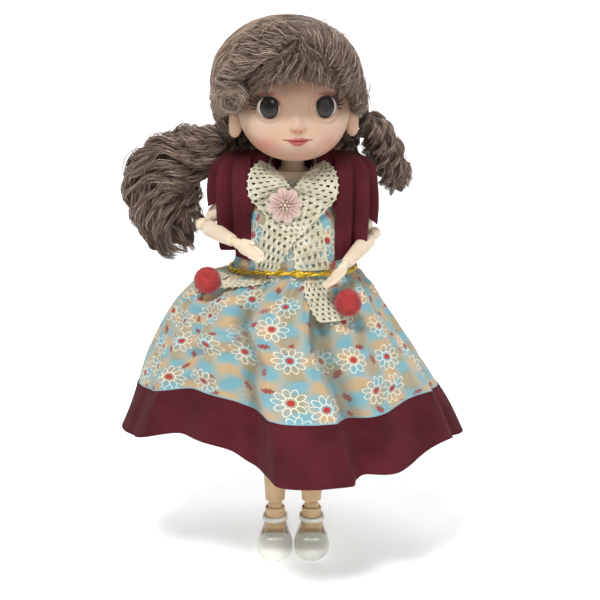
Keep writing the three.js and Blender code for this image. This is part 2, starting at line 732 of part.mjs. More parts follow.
// A hand along -Z, with the thumb on the +X side and the palm towards -Y.
function makeHand() {
  const palmStart = (WRIST_BALL_RADIUS + FIT) * Math.cos(radians(WRIST_RIM_ANGLE));
  const ring = (depth, width, thickness) => bodyRing({
    z: -depth, halfWidth: width / 2, front: thickness / 2, back: thickness / 2, sides: 10, power: 2.6,
  });
  const palm = loft([
    ring(palmStart, FOREARM_END_RADIUS * 1.7, FOREARM_END_RADIUS * 1.7),
    ring(palmStart + PALM_LENGTH * 0.3, PALM_WIDTH * 0.85, PALM_THICKNESS),
    ring(palmStart + PALM_LENGTH * 0.75, PALM_WIDTH, PALM_THICKNESS * 0.9),
    ring(palmStart + PALM_LENGTH, PALM_WIDTH * 0.92, PALM_THICKNESS * 0.6),
  ]);
  const knuckle = -palmStart - PALM_LENGTH * 0.85;
  const pitch = (PALM_WIDTH - 2 * FINGER_RADIUS) / 3;
  const fingers = [-1.5, -0.5, 0.5, 1.5].map((slot, k) => finger(
    vector(slot * pitch, 0, knuckle),
    vector(slot * 0.05, -0.16 - 0.05 * k, -1),
    FINGER_LENGTH * (1 - 0.12 * Math.abs(slot - 0.4)),
    FINGER_RADIUS,
  ));
  const thumb = finger(
    vector(PALM_WIDTH * 0.3, -0.5, -palmStart - PALM_LENGTH * 0.3),
    vector(0.75, -0.45, -0.8),
    THUMB_LENGTH,
    FINGER_RADIUS * 1.15,
  );
  return cut(join(palm, thumb, ...fingers), socket(WRIST_BALL_RADIUS));
}

// Turns a form made along -Z to a direction, with its +X side towards a second one.
function aim(group, direction, towards) {
  const back = vector(...direction).normalize().negate();
  const sideways = vector(...towards);
  sideways.addScaledVector(back, -sideways.dot(back)).normalize();
  const third = back.clone().cross(sideways);
  group.setRotationFromMatrix(new THREE.Matrix4().makeBasis(sideways, third, back));
}

function makeArm(sideName, sign, held) {
  const named = (name, geometry, finish) => piece(`${name}_${sideName}`, geometry, finish);
  const along = (direction, length) => vector(...direction).setLength(length);
  const elbowPlace = along(held.upper, UPPER_ARM_LENGTH);
  const wristPlace = along(held.fore, FOREARM_LENGTH);
  const shoulder = jointGroup(
    `shoulder_${sideName}`, torso, (sign * SHOULDER_SPACING) / 2, SHOULDER_BACK, shoulderHeight,
  );
  const elbow = jointGroup(`elbow_${sideName}`, shoulder, elbowPlace.x, elbowPlace.y, elbowPlace.z);
  const wrist = jointGroup(`wrist_${sideName}`, elbow, wristPlace.x, wristPlace.y, wristPlace.z);
  const upperArm = named('upper_arm', limb({
    length: UPPER_ARM_LENGTH,
    top: shoulderJoint,
    end: { ...elbowJoint, peg: true },
    radii: [UPPER_ARM_RADIUS, UPPER_ARM_RADIUS * 0.82, UPPER_ARM_END_RADIUS],
  }), 'skin');
  const forearm = named('forearm', limb({
    length: FOREARM_LENGTH,
    top: elbowJoint,
    end: { ...wristJoint, peg: true },
    radii: [FOREARM_RADIUS, FOREARM_RADIUS * 0.95, FOREARM_END_RADIUS],
  }), 'skin');
  const hand = named('hand', makeHand(), 'skin');
  const towardsUpper = elbowPlace.clone().negate();
  const towardsFore = wristPlace.clone().negate();
  aim(upperArm, held.upper, held.fore);
  aim(forearm, held.fore, held.upper);
  aim(hand, held.hand, held.thumb);
  shoulder.add(named('shoulder_ball', peggedBall(
    SHOULDER_BALL_RADIUS, vector(-sign, 0, 0), SHOULDER_AXLE_RADIUS, SHOULDER_AXLE_LENGTH,
  ), 'skin'));
  shoulder.add(upperArm);
  elbow.add(named('elbow_peg', peggedBall(ELBOW_BALL_RADIUS, towardsUpper, PEG_RADIUS, PEG_LENGTH), 'skin'));
  elbow.add(forearm);
  wrist.add(named('wrist_peg', peggedBall(WRIST_BALL_RADIUS, towardsFore, PEG_RADIUS, PEG_LENGTH), 'skin'));
  wrist.add(hand);
}

makeArm('right', -1, RIGHT_ARM);
makeArm('left', 1, LEFT_ARM);

// Neck: a post that turns in the collar and carries the head on its ball

function makeNeck() {
  const columnTop = NECK_LENGTH - NECK_BALL_RADIUS * 0.6;
  const post = turned([
    [0, -NECK_PEG_LENGTH],
    [NECK_PEG_RADIUS, -NECK_PEG_LENGTH],
    [NECK_PEG_RADIUS, FIT],
    [NECK_FLANGE_RADIUS, FIT],
    [NECK_FLANGE_RADIUS, FIT + NECK_FLANGE_THICKNESS],
    [NECK_RADIUS, FIT + NECK_FLANGE_THICKNESS * 2],
    [NECK_RADIUS * 0.96, columnTop],
    [0, columnTop],
  ], 12);
  return join(post, moved(ball(NECK_BALL_RADIUS), 0, 0, NECK_LENGTH));
}

const neck = jointGroup('neck', torso, 0, NECK_BACK, collarHeight);
neck.rotation.z = radians(HEAD_TURN);
neck.add(piece('neck_post', makeNeck(), 'face'));

const headPivot = jointGroup('head', neck, 0, 0, NECK_LENGTH);
const head = jointGroup('head_middle', headPivot, 0, -HEAD_FORWARD, HEAD_RISE);

// Head: face and skull cap, with eyes, lashes and the bracket that holds the eyes

function headRing(level, sides) {
  const below = level < 0;
  const height = Math.abs(level);
  const widthPower = below ? JAW_POWER : CHEEK_POWER;
  const widthShare = (1 - height ** widthPower) ** (1 / widthPower);
  const depthPower = below ? PROFILE_POWER : CHEEK_POWER;
  const depth = HEAD_HALF_DEPTH * (1 - height ** depthPower) ** (1 / depthPower);
  return bodyRing({
    z: below ? -height * CHIN_DROP : height * CROWN_RISE,
    y: below ? -CHIN_FORWARD * height ** 2 : 0,
    halfWidth: HEAD_HALF_WIDTH * widthShare,
    front: depth,
    back: depth,
    sides,
    power: FACE_POWER,
  });
}

function headForm(sides = 20, levels = 10) {
  const rings = [];
  for (let i = 0; i <= levels; i += 1) {
    const level = Math.sin(-Math.PI / 2 + (Math.PI * (i + 0.35)) / (levels + 0.7));
    rings.push(headRing(level, sides));
  }
  return loft(rings);
}

// The head's own form, grown or shrunk from its middle by about an offset.
function headOffset(offset, sides, levels) {
  return scaled(headForm(sides, levels), (HEAD_HALF_WIDTH + offset) / HEAD_HALF_WIDTH);
}

// Where the face's front surface lies at a place across and above the middle.
function faceDepth(x, z) {
  const height = Math.abs(z) / (z < 0 ? CHIN_DROP : CROWN_RISE);
  const widthPower = z < 0 ? JAW_POWER : CHEEK_POWER;
  const halfWidth = HEAD_HALF_WIDTH * (1 - height ** widthPower) ** (1 / widthPower);
  const power = z < 0 ? PROFILE_POWER : CHEEK_POWER;
  const depth = HEAD_HALF_DEPTH * (1 - height ** power) ** (1 / power);
  const inward = (1 - Math.abs(x / halfWidth) ** FACE_POWER) ** (1 / FACE_POWER);
  return -depth * inward - (z < 0 ? CHIN_FORWARD * height ** 2 : 0);
}

// A group whose -Y axis looks out of one eye opening, from the eye's middle.
function eyePlace(sign) {
  const x = (sign * EYE_SPACING) / 2;
  const turn = radians(sign * EYE_TURN);
  const depth = EYE_RADIUS - EYE_BULGE;
  const surface = faceDepth(x, -EYE_DROP);
  return new THREE.Matrix4()
    .makeTranslation(x - Math.sin(turn) * depth, surface + Math.cos(turn) * depth, -EYE_DROP)
    .multiply(new THREE.Matrix4().makeRotationZ(turn));
}

function eyeOpening(sign, radius) {
  const hole = rod(vector(0, -EYE_RADIUS * 2, 0), vector(0, 0, 0), radius, 12);
  return hole.applyMatrix4(eyePlace(sign));
}

function earForm(sign, grow) {
  const form = ellipsoid(EAR_REACH + grow, EAR_DEPTH / 2 + grow, EAR_HEIGHT / 2 + grow);
  return form.translate(sign * (HEAD_HALF_WIDTH - 0.4), -EAR_FORWARD, -EAR_DROP);
}

// The cup under the head that sits on the neck ball.
function neckCup() {
  const outside = ball(NECK_BALL_RADIUS + FIT + HEAD_WALL);
  const cup = cut(outside, socket(NECK_BALL_RADIUS), below(-NECK_CUP_LIP));
  return moved(cup, 0, HEAD_FORWARD, -HEAD_RISE);
}

function makeHead() {
  const shell = cut(
    headOffset(0),
    headOffset(-HEAD_WALL, 12, 6),
    moved(rod(vector(0, 0, -CHIN_DROP), vector(0, 0, 0), NECK_HOLE_RADIUS, 12), 0, HEAD_FORWARD, 0),
  );
  const noseFront = faceDepth(0, -NOSE_DROP);
  const nose = moved(
    ellipsoid(NOSE_RADIUS, NOSE_RADIUS * 1.1, NOSE_RADIUS * 1.1), 0, noseFront + 0.6, -NOSE_DROP,
  );
  const lipFront = faceDepth(0, -MOUTH_DROP);
  const lips = [0.9, -1.1].map((rise) => moved(
    ellipsoid(MOUTH_HALF_WIDTH, 1.8, 1.5), 0, lipFront + 0.9, -MOUTH_DROP + rise,
  ));
  const size = 200;
  const split = new THREE.BoxGeometry(size, size, size);
  const frontHalf = moved(split, 0, HEAD_SPLIT - PARTING_GAP / 2 - size / 2, 0);
  const backHalf = moved(split, 0, HEAD_SPLIT + PARTING_GAP / 2 + size / 2, 0);
  const inside = headOffset(-HEAD_WALL, 12, 6);
  const features = cut(join(nose, ...lips, earForm(1, 0), earForm(-1, 0)), inside);
  const openings = [1, -1].flatMap((sign) => [
    eyeOpening(sign, EYE_OPENING_RADIUS),
    socket(EYE_RADIUS, 12, 8).applyMatrix4(eyePlace(sign)),
  ]);
  head.add(piece('face_shell', cut(join(keep(shell, frontHalf), neckCup(), features), ...openings), 'face'));
  head.add(piece('skull_cap', keep(shell, backHalf), 'face'));
}

// The upper lash line, a curved strip just inside the rim of the eye opening.
function makeLashes(sign) {
  const outer = EYE_OPENING_RADIUS - FIT;
  const strip = new THREE.Shape();
  strip.absarc(0, 0, outer, radians(15), radians(165), false);
  strip.absarc(0, 0, outer - LASH_WIDTH, radians(165), radians(15), true);
  const lash = new THREE.ExtrudeGeometry(strip, { depth: EYE_RADIUS, bevelEnabled: false, curveSegments: 6 });
  lash.rotateX(Math.PI / 2);
  lash.translate(0, -EYE_RADIUS * 0.55, 0);
  const front = rod(vector(0, -EYE_RADIUS * 1.06, 0), vector(0, 0, 0), EYE_RADIUS * 1.5, 12);
  return cut(keep(lash, front), socket(EYE_RADIUS, 12, 8)).applyMatrix4(eyePlace(sign));
}

// A moulded strip behind both eyes, with a cup for each, screwed inside the face.
function makeEyeBracket() {
  const back = eyePlace(1);
  const middle = vector(0, 0, 0).applyMatrix4(back);
  const bar = new THREE.BoxGeometry(EYE_SPACING + EYE_RADIUS, 4, 5);
  bar.translate(0, middle.y + EYE_RADIUS, middle.z);
  const cups = [1, -1].map((sign) => socket(EYE_RADIUS, 12, 8).applyMatrix4(eyePlace(sign)));
  const posts = [1, -1].map((sign) => rod(
    vector((sign * EYE_SPACING) / 2, middle.y + EYE_RADIUS, middle.z),
    vector(sign * HEAD_HALF_WIDTH, middle.y + EYE_RADIUS, middle.z),
    2,
  ));
  const room = headOffset(-HEAD_WALL - FIT * 2, 12, 6);
  return cut(keep(join(bar, ...posts), room), ...cups);
}

makeHead();
[['right', -1], ['left', 1]].forEach(([sideName, sign]) => {
  head.add(piece(`eye_${sideName}`, ball(EYE_RADIUS, 12, 8).applyMatrix4(eyePlace(sign)), 'eye'));
  head.add(piece(`lashes_${sideName}`, makeLashes(sign), 'lash'));
});
head.add(piece('eye_bracket', makeEyeBracket(), 'bracket'));

// Hair: wig cap, crown, fringe and two pigtails with their ties

// The opening for the face, through the front of the wig.
function faceWindow(inset) {
  const half = FACE_WINDOW_HALF_WIDTH - inset;
  const spring = EYE_OPENING_RADIUS - EYE_DROP;
  const outline = new THREE.Shape();
  outline.moveTo(-half, -CHIN_DROP * 2);
  outline.lineTo(half, -CHIN_DROP * 2);
  outline.lineTo(half, spring);
  outline.absellipse(0, spring, half, FACE_WINDOW_RISE - inset - spring, 0, Math.PI, false);
  outline.closePath();
  const depth = HAIR_HALF_DEPTH * 2;
  const window = new THREE.ExtrudeGeometry(outline, { depth, bevelEnabled: false, curveSegments: 8 });
  return window.rotateX(Math.PI / 2).translate(0, FACE_WINDOW_BACK - inset, 0);
}

// The outer form of the crown, with soft lumps where the curls are drawn to the sides.
function crownForm(grow) {
  const rings = [];
  const levels = 9;
  const sides = 27;
  for (let i = 0; i <= levels; i += 1) {
    const turn = -Math.PI / 2 + (Math.PI * (i + 0.35)) / (levels + 0.7);
    const level = Math.sin(turn);
    const share = Math.cos(turn);
    const ring = [];
    for (let k = 0; k < sides; k += 1) {
      const angle = (2 * Math.PI * k) / sides;
      const lump = HAIR_LUMP_HEIGHT * share * Math.cos(HAIR_LUMPS * angle + 2.2 * i);
      ring.push(vector(
        HAIR_SIDE_SHIFT + (HAIR_HALF_WIDTH + lump + grow) * share * Math.cos(angle),
        HAIR_BACK_SHIFT + (HAIR_HALF_DEPTH + lump + grow) * share * Math.sin(angle),
        level * (level < 0 ? HAIR_DROP : HAIR_CROWN_RISE) + grow * level,
      ));
    }
    rings.push(ring);
  }
  return loft(rings);
}

function makeWig() {
  const window = faceWindow(0);
  const cap = cut(
    headOffset(FIT + CAP_THICKNESS, 16, 8),
    headOffset(FIT),
    window,
    below(EAR_HEIGHT / 2 - EAR_DROP + FIT),
  );
  const crown = cut(
    crownForm(0),
    headOffset(FIT * 2 + CAP_THICKNESS, 16, 8),
    window,
    below(-HAIR_NAPE_DROP),
    earForm(1, FIT * 3),
    earForm(-1, FIT * 3),
  );
  head.add(piece('wig_cap', cap, 'wigNet'));
  head.add(piece('crown_hair', crown, 'hair'));
}

// A tuft of hair along a curve: round sections, lobed where the curls bulge.
function tuft({ path, radii, lobes, lobeHeight, flat = 1, steps = 10, sides = 12 }) {
  const curve = new THREE.CatmullRomCurve3(path.map((point) => vector(...point)));
  const thickness = new THREE.SplineCurve(radii.map((radius, k) => new THREE.Vector2(k, radius)));
  const frames = curve.computeFrenetFrames(steps, false);
  const rings = [];
  for (let i = 0; i <= steps; i += 1) {
    const share = i / steps;
    const centre = curve.getPointAt(share);
    const radius = thickness.getPoint(share).y;
    const bulge = lobeHeight * Math.sin(Math.PI * share);
    const ring = [];
    for (let k = 0; k < sides; k += 1) {
      const angle = (2 * Math.PI * k) / sides;
      const reach = radius + bulge * Math.cos(lobes * angle + 1.7 * i);
      ring.push(centre.clone()
        .addScaledVector(frames.normals[i], reach * Math.cos(angle))
        .addScaledVector(frames.binormals[i], reach * flat * Math.sin(angle)));
    }
    rings.push(ring);
  }
  return loft(rings);
}

function makeFringe() {
  const roll = FRINGE_BOTTOM_RISE + FRINGE_RADIUS;
  const front = faceDepth(0, roll);
  const curls = tuft({
    path: [
      [-FACE_WINDOW_HALF_WIDTH, front + 14, roll - 9],
      [-FACE_WINDOW_HALF_WIDTH * 0.75, front + 6, roll - 4],
      [-FACE_WINDOW_HALF_WIDTH * 0.3, front - 0.5, roll],
      [FACE_WINDOW_HALF_WIDTH * 0.3, front - 0.5, roll + 1],
      [FACE_WINDOW_HALF_WIDTH * 0.75, front + 7, roll],
      [FACE_WINDOW_HALF_WIDTH, front + 16, roll - 2],
    ],
    radii: [7, FRINGE_RADIUS, FRINGE_RADIUS, FRINGE_RADIUS, FRINGE_RADIUS * 0.9, 6],
    lobes: 3,
    lobeHeight: 1,
    steps: 9,
  });
  return cut(keep(curls, faceWindow(FIT)), headOffset(FIT * 2));
}

const PIGTAILS = {
  right: {
    path: [
      [-29, 9.2, -26],
      [-37, 12.2, -28.5],
      [-51, 19.8, -36],
      [-69, 27, -46],
      [-71.5, 32, -70],
      [-60, 34, -91],
    ],
    radii: [TIE_RADIUS - TIE_SLACK, TIE_RADIUS - TIE_SLACK, 13.5, 21, 20, 14],
    lobes: 3,
    lobeHeight: 2.2,
    flat: 0.95,
  },
  left: {
    path: [
      [29, 6.8, -16],
      [38, 9, -20.8],
      [46, 14, -30],
      [52, 18.5, -42],
      [58, 20, -54],
      [62, 20.5, -64],
    ],
    radii: [TIE_RADIUS - TIE_SLACK, TIE_RADIUS - TIE_SLACK, 10.5, 11.5, 10.5, 6.5],
    lobes: 3,
    lobeHeight: 1,
    flat: 1,
  },
};

// An elastic ring round the root of a pigtail.
function makeTie({ path }) {
  const [root, place] = [vector(...path[0]), vector(...path[1])];
  const half = TIE_THICKNESS / 2;
  const ring = turned([
    [TIE_RADIUS, -half],
    [TIE_RADIUS + TIE_THICKNESS, -half],
    [TIE_RADIUS + TIE_THICKNESS, half],
    [TIE_RADIUS, half],
    [TIE_RADIUS, -half],
  ], 12);
  const direction = place.clone().sub(root).normalize();
  ring.applyQuaternion(new THREE.Quaternion().setFromUnitVectors(vector(0, 0, 1), direction));
  return ring.translate(place.x, place.y, place.z);
}

makeWig();
head.add(piece('fringe', makeFringe(), 'hair'));
Object.entries(PIGTAILS).forEach(([sideName, form]) => {
  const clear = crownForm(FIT);
  const tie = cut(makeTie(form), clear);
  head.add(piece(`pigtail_${sideName}`, cut(tuft(form), clear), 'hair'));
  head.add(piece(`hair_tie_${sideName}`, tie, 'tie'));
});

// Dress: bodice, belt, skirt, hem band and shoulder flounces

const bodiceLevels = [
  [waistHeight - 1, BODICE_HALF_WIDTH, BODICE_HALF_DEPTH],
  [waistHeight + 12, BODICE_HALF_WIDTH * 0.94, BODICE_HALF_DEPTH * 0.97],
  [waistHeight + 26, BODICE_HALF_WIDTH * 0.83, BODICE_HALF_DEPTH * 0.87],
  [shoulderHeight - 8, CHEST_HALF_WIDTH * 1.02 + 3, 18],
  [shoulderHeight, CHEST_HALF_WIDTH * 0.97 + 1.6, 14.6],
  [shoulderHeight + 4, CHEST_HALF_WIDTH * 0.72 + 1.9, 14],
];

function bodiceRing([z, halfWidth, depth], inset) {
  return bodyRing({
    z, halfWidth: halfWidth - inset, front: depth - inset, back: depth - inset, sides: 20,
  });
}

// Where the bodice's front surface lies at a place across it and above the floor.
function bodiceFront(x, z) {
  const above = bodiceLevels.findIndex(([height]) => height >= z);
  const [low, high] = above < 1 ? bodiceLevels.slice(-2) : bodiceLevels.slice(above - 1, above + 1);
  const share = THREE.MathUtils.clamp((z - low[0]) / (high[0] - low[0]), 0, 1);
  const halfWidth = THREE.MathUtils.lerp(low[1], high[1], share);
  const depth = THREE.MathUtils.lerp(low[2], high[2], share);
  return -depth * (1 - Math.min(Math.abs(x / halfWidth), 1) ** BODY_POWER) ** (1 / BODY_POWER);
}

function makeBodice() {
  const shell = sleeve(
    bodiceLevels.map((level) => bodiceRing(level, 0)),
    bodiceLevels.map((level) => bodiceRing(level, BODICE_THICKNESS)),
  );
  const armholes = [1, -1].map((sign) => rod(
    vector(sign * ARMHOLE_INSET, SHOULDER_BACK, shoulderHeight - ARMHOLE_DROP),
    vector(sign * BODICE_HALF_WIDTH * 2, SHOULDER_BACK, shoulderHeight - ARMHOLE_DROP),
    ARMHOLE_RADIUS,
    12,
  ));
  return cut(shell, ...armholes);
}

// The cord round the waist, a closed ring along the bodice.
function makeBelt() {
  const sides = 5;
  const steps = 36;
  const rings = [];
  for (let i = 0; i < steps; i += 1) {
    const angle = (2 * Math.PI * i) / steps;
    const outwards = vector(Math.cos(angle), Math.sin(angle), 0);
    const reach = BODICE_THICKNESS / 2 + FIT + BELT_RADIUS;
    const centre = vector(
      (BODICE_HALF_WIDTH + reach) * roundPower(outwards.x, BODY_POWER),
      (BODICE_HALF_DEPTH + reach) * roundPower(outwards.y, BODY_POWER),
      waistHeight + BELT_RISE,
    );
    const ring = [];
    for (let k = 0; k < sides; k += 1) {
      const turn = (2 * Math.PI * k) / sides;
      ring.push(centre.clone()
        .addScaledVector(outwards, BELT_RADIUS * Math.cos(turn))
        .add(vector(0, 0, BELT_RADIUS * Math.sin(turn))));
    }
    rings.push(ring);
  }
  const quads = [];
  for (let i = 0; i < steps; i += 1) ringQuads(i * sides, ((i + 1) % steps) * sides, sides, quads);
  return skin(rings.flat(), quads, []);
}

// How near a direction round the skirt is to the middle of a swag or fold: 1 there, 0 far from it.
function nearness(angle, { angle: middle, spread }) {
  const away = THREE.MathUtils.euclideanModulo((angle * 180) / Math.PI - middle + 180, 360) - 180;
  return Math.exp(-((away / spread) ** 2));
}

// A place on the skirt: angle round it, share of the way down, and distance in from its face.
function skirtPoint(angle, share, inset) {
  const total = (list, size) => list.reduce((sum, item) => sum + nearness(angle, item) * item[size], 0);
  const flare = share ** 0.55;
  const folds = Math.cos(SKIRT_FOLDS * angle + 1.2 * Math.sin(3 * angle)) * 0.75
    + Math.cos(5 * angle + 1) * 0.25;
  const fold = SKIRT_FOLD_HEIGHT * (0.25 + 0.75 * share) * Math.min(share * 12, 1) * folds
    + total(FRONT_FOLDS, 'height') * share;
  const lean = SKIRT_LEAN * (share / 0.22) * Math.exp(1 - share / 0.22);
  const lift = HEM_SIDE_LIFT * Math.cos(2 * angle) * share ** 3 + total(SKIRT_SWAGS, 'rise') * share;
  const drawn = 1 - total(SKIRT_SWAGS, 'drawn') * share;
  const reach = fold - inset;
  const flareDepth = Math.sin(angle) < 0 ? SKIRT_FLARE_FRONT : SKIRT_FLARE_BACK;
  return vector(
    (BODICE_HALF_WIDTH + SKIRT_FLARE_WIDTH * flare + reach) * Math.cos(angle) - lean,
    (BODICE_HALF_DEPTH + flareDepth * flare + reach) * drawn * Math.sin(angle),
    waistHeight - 1 - FIT - SKIRT_LENGTH * share + lift - inset * 0.5 * (1 - share),
  );
}

function skirtPart(shares) {
  const sides = 56;
  const wall = (inset) => shares.map((share) => {
    const ring = [];
    for (let k = 0; k < sides; k += 1) ring.push(skirtPoint((2 * Math.PI * k) / sides, share, inset));
    return ring;
  });
  return sleeve(wall(0), wall(SKIRT_THICKNESS));
}

const hemTop = 1 - HEM_WIDTH / SKIRT_LENGTH;
const seamGap = FIT / SKIRT_LENGTH;

// A shoulder flounce: gathered at the shoulder seam, puffed up, then hanging in folds.
// Its hem lies higher where the arm comes out under it.
function makeFlounce(sign, held) {
  const across = 20;
  const fall = 3;
  const seam = sign * (SHOULDER_SPACING / 2 - 1);
  const [reachOut, , drop] = held.upper;
  const overArm = (x) => {
    const out = Math.abs(x) - SHOULDER_SPACING / 2;
    return (drop / Math.abs(reachOut)) * out + UPPER_ARM_RADIUS * 1.25 + DRAPE;
  };
  const rows = [];
  for (let j = 0; j <= across; j += 1) {
    const turn = radians(FLOUNCE_SWEEP) * ((2 * j) / across - 1);
    const outward = Math.cos(turn);
    const wave = 1.5 * Math.cos(FLOUNCE_FOLDS * turn * 1.6 + 0.6);
    const spot = (reach, z, ripple) => {
      const x = seam + sign * (FLOUNCE_REACH * reach + ripple * wave) * outward;
      const y = SHOULDER_BACK + (FLOUNCE_DEPTH * reach + ripple * wave) * Math.sin(turn);
      const clear = -bodiceFront(x, shoulderHeight + z) + FLOUNCE_THICKNESS / 2 + DRAPE;
      const hanging = z < 0 && Math.abs(x) < BODICE_HALF_WIDTH;
      const side = Math.sign(Math.sin(turn));
      return vector(x, hanging ? side * Math.max(side * y, clear) : y, shoulderHeight + z);
    };
    const onArm = THREE.MathUtils.smoothstep(outward, 0.4, 0.85);
    const hem = THREE.MathUtils.lerp(-FLOUNCE_DROP, overArm(spot(1.1, 0, 1).x), onArm);
    const row = FLOUNCE_PUFF.map(([reach, rise], k) => spot(reach, FLOUNCE_RISE * rise, k / 3));
    for (let i = 1; i <= fall; i += 1) {
      const share = i / fall;
      const z = THREE.MathUtils.lerp(FLOUNCE_RISE * FLOUNCE_PUFF.at(-1)[1], hem, share);
      row.push(spot(1 + 0.1 * Math.sin(Math.PI * 0.5 * share), z, 1 + share * 0.6));
    }
    rows.push(row);
  }
  return sheet(rows, FLOUNCE_THICKNESS);
}

torso.add(piece('bodice', makeBodice(), 'print'));
torso.add(piece('belt_cord', makeBelt(), 'gold'));
torso.add(piece('skirt', skirtPart([0, 0.03, 0.09, 0.2, 0.36, 0.54, hemTop - seamGap]), 'print'));
torso.add(piece('hem_band', skirtPart([hemTop, (hemTop + 1) / 2, 1]), 'burgundy'));
torso.add(piece('flounce_right', makeFlounce(-1, RIGHT_ARM), 'burgundy'));
torso.add(piece('flounce_left', makeFlounce(1, LEFT_ARM), 'burgundy'));

// Lace: two crossed strips with turned-out lapels, their tails, the flower and the pompoms

// A lace strip along a curve, with half its width as a vector at each station.
// Where it lies on the bodice it keeps at least a given distance ahead of it.
function laceStrip(stations, lift, steps = 15, strips = 3) {
  const centre = new THREE.CatmullRomCurve3(stations.map(({ at }) => vector(...at)));
  const halfWidth = new THREE.CatmullRomCurve3(stations.map(({ half }) => vector(...half)));
  const rows = [];
  for (let i = 0; i <= steps; i += 1) {
    const middle = centre.getPoint(i / steps);
    const across = halfWidth.getPoint(i / steps);
    const row = [];
    for (let j = 0; j <= strips; j += 1) {
      const spot = middle.clone().addScaledVector(across, (2 * j) / strips - 1);
      if (spot.y < -LAPEL_BACK) spot.y = Math.min(spot.y, bodiceFront(spot.x, spot.z) - lift);
      row.push(spot);
    }
    rows.push(row);
  }
  return sheet(rows, LACE_THICKNESS);
}

// One strip from the back of the neck, turned out as a lapel, crossing the chest to the belt.
function makeShawl(sign, lift, end) {
  const half = LACE_WIDTH / 2;
  const top = Math.max(collarHeight, shoulderHeight + STRIP_REST);
  const belt = waistHeight + BELT_RISE + BELT_RADIUS + FIT * 2;
  const chest = -LAPEL_BACK - 1;
  const nape = NECK_BACK + NECK_FLANGE_RADIUS;
  return laceStrip([
    { at: [sign, nape + 5, top + 2.5], half: [0, 1, half * 0.35] },
    { at: [sign * 9, nape, top + 3], half: [sign * 1, 1, half * 0.35] },
    { at: [sign * 12, 0, top + 4], half: [sign * 2, 0, half * 0.3] },
    { at: [sign * 13.5, -LAPEL_BACK * 1.7, top + 0.5], half: [sign * half * 0.6, 0, 0.5] },
    { at: [sign * 10.5, -14.5 - lift, top - 9], half: [sign * half * 0.9, 2, -half * 0.35] },
    { at: [sign * 2, chest, top - 20], half: [sign * half * 0.6, 0, -half * 0.6] },
    { at: [-sign * 7, chest, (top + belt) / 2 - 4], half: [sign * half * 0.7, 0, -half * 0.5] },
    { at: [end.middle, chest, belt], half: [sign * end.half, 0, 0] },
  ], lift);
}

// The loose end of a strip, lying on the skirt below the belt.
function makeTail({ angle, spread, from, to }) {
  const rows = [];
  const steps = 4;
  const strips = 3;
  const lift = LACE_THICKNESS / 2 + DRAPE;
  for (let i = 0; i <= steps; i += 1) {
    const row = [];
    for (let j = 0; j <= strips; j += 1) {
      const turn = radians(angle + spread * ((2 * j) / strips - 1));
      row.push(skirtPoint(turn, THREE.MathUtils.lerp(from, to, i / steps), -lift));
    }
    rows.push(row);
  }
  return sheet(rows, LACE_THICKNESS);
}

// A felt ball at the end of a tail, lying on the skirt.
function makePompom({ pompom }) {
  const turn = radians(pompom.angle);
  const seat = skirtPoint(turn, pompom.share, 0);
  const downhill = skirtPoint(turn, pompom.share * 1.1, 0).sub(seat);
  const around = vector(-Math.sin(turn), Math.cos(turn), 0);
  const centre = seat.addScaledVector(around.cross(downhill).normalize(), -POMPOM_RADIUS - FIT * 2);
  return ball(POMPOM_RADIUS, 12, 8).translate(centre.x, centre.y, centre.z);
}

function makeFlower() {
  const outline = new THREE.Shape();
  const points = FLOWER_PETALS * 6;
  for (let k = 0; k < points; k += 1) {
    const angle = (2 * Math.PI * k) / points;
    const reach = FLOWER_RADIUS * (0.68 + 0.32 * Math.abs(Math.sin((FLOWER_PETALS * angle) / 2)) ** 0.7);
    const spot = [reach * Math.cos(angle), reach * Math.sin(angle)];
    if (k === 0) outline.moveTo(...spot);
    else outline.lineTo(...spot);
  }
  outline.closePath();
  const petals = new THREE.ExtrudeGeometry(outline, { depth: FLOWER_THICKNESS, bevelEnabled: false });
  const beads = moved(ellipsoid(FLOWER_RADIUS * 0.3, FLOWER_RADIUS * 0.3, 1.4), 0, 0, FLOWER_THICKNESS);
  return join(petals, beads).rotateX(Math.PI / 2);
}

function placeFlower() {
  const height = collarHeight + FLOWER_DROP;
  const flower = piece('flower', makeFlower(), 'flower');
  const front = bodiceFront(FLOWER_SIDE, height - FLOWER_RADIUS) - OVER_LIFT - LACE_THICKNESS / 2 - FIT;
  flower.position.set(FLOWER_SIDE, front + FLOWER_RADIUS * Math.sin(radians(FLOWER_LEAN)), height);
  flower.rotation.x = -radians(FLOWER_LEAN);
  torso.add(flower);
}

torso.add(piece('shawl_right', makeShawl(-1, UNDER_LIFT, STRIP_ENDS.right), 'lace'));
torso.add(piece('shawl_left', makeShawl(1, OVER_LIFT, STRIP_ENDS.left), 'lace'));
placeFlower();
Object.entries(TAILS).forEach(([sideName, tail]) => {
  torso.add(piece(`tail_${sideName}`, makeTail(tail), 'lace'));
  torso.add(piece(`pompom_${sideName}`, makePompom(tail), 'felt'));
});

// The origin is the middle of the doll's footprint, on the floor.
doll.updateMatrixWorld(true);
const middle = new THREE.Box3().setFromObject(doll, true).getCenter(vector(0, 0, 0));
doll.position.set(-middle.x, -middle.y, 0);

export default doll;
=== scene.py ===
import json

import bpy
import numpy as np
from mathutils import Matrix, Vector
from numpy import (
    arange, array, clip, concatenate, cos, cross, degrees, exp, full, interp, linspace, maximum, minimum,
    pi, radians, repeat, sin, stack, where, zeros,
)


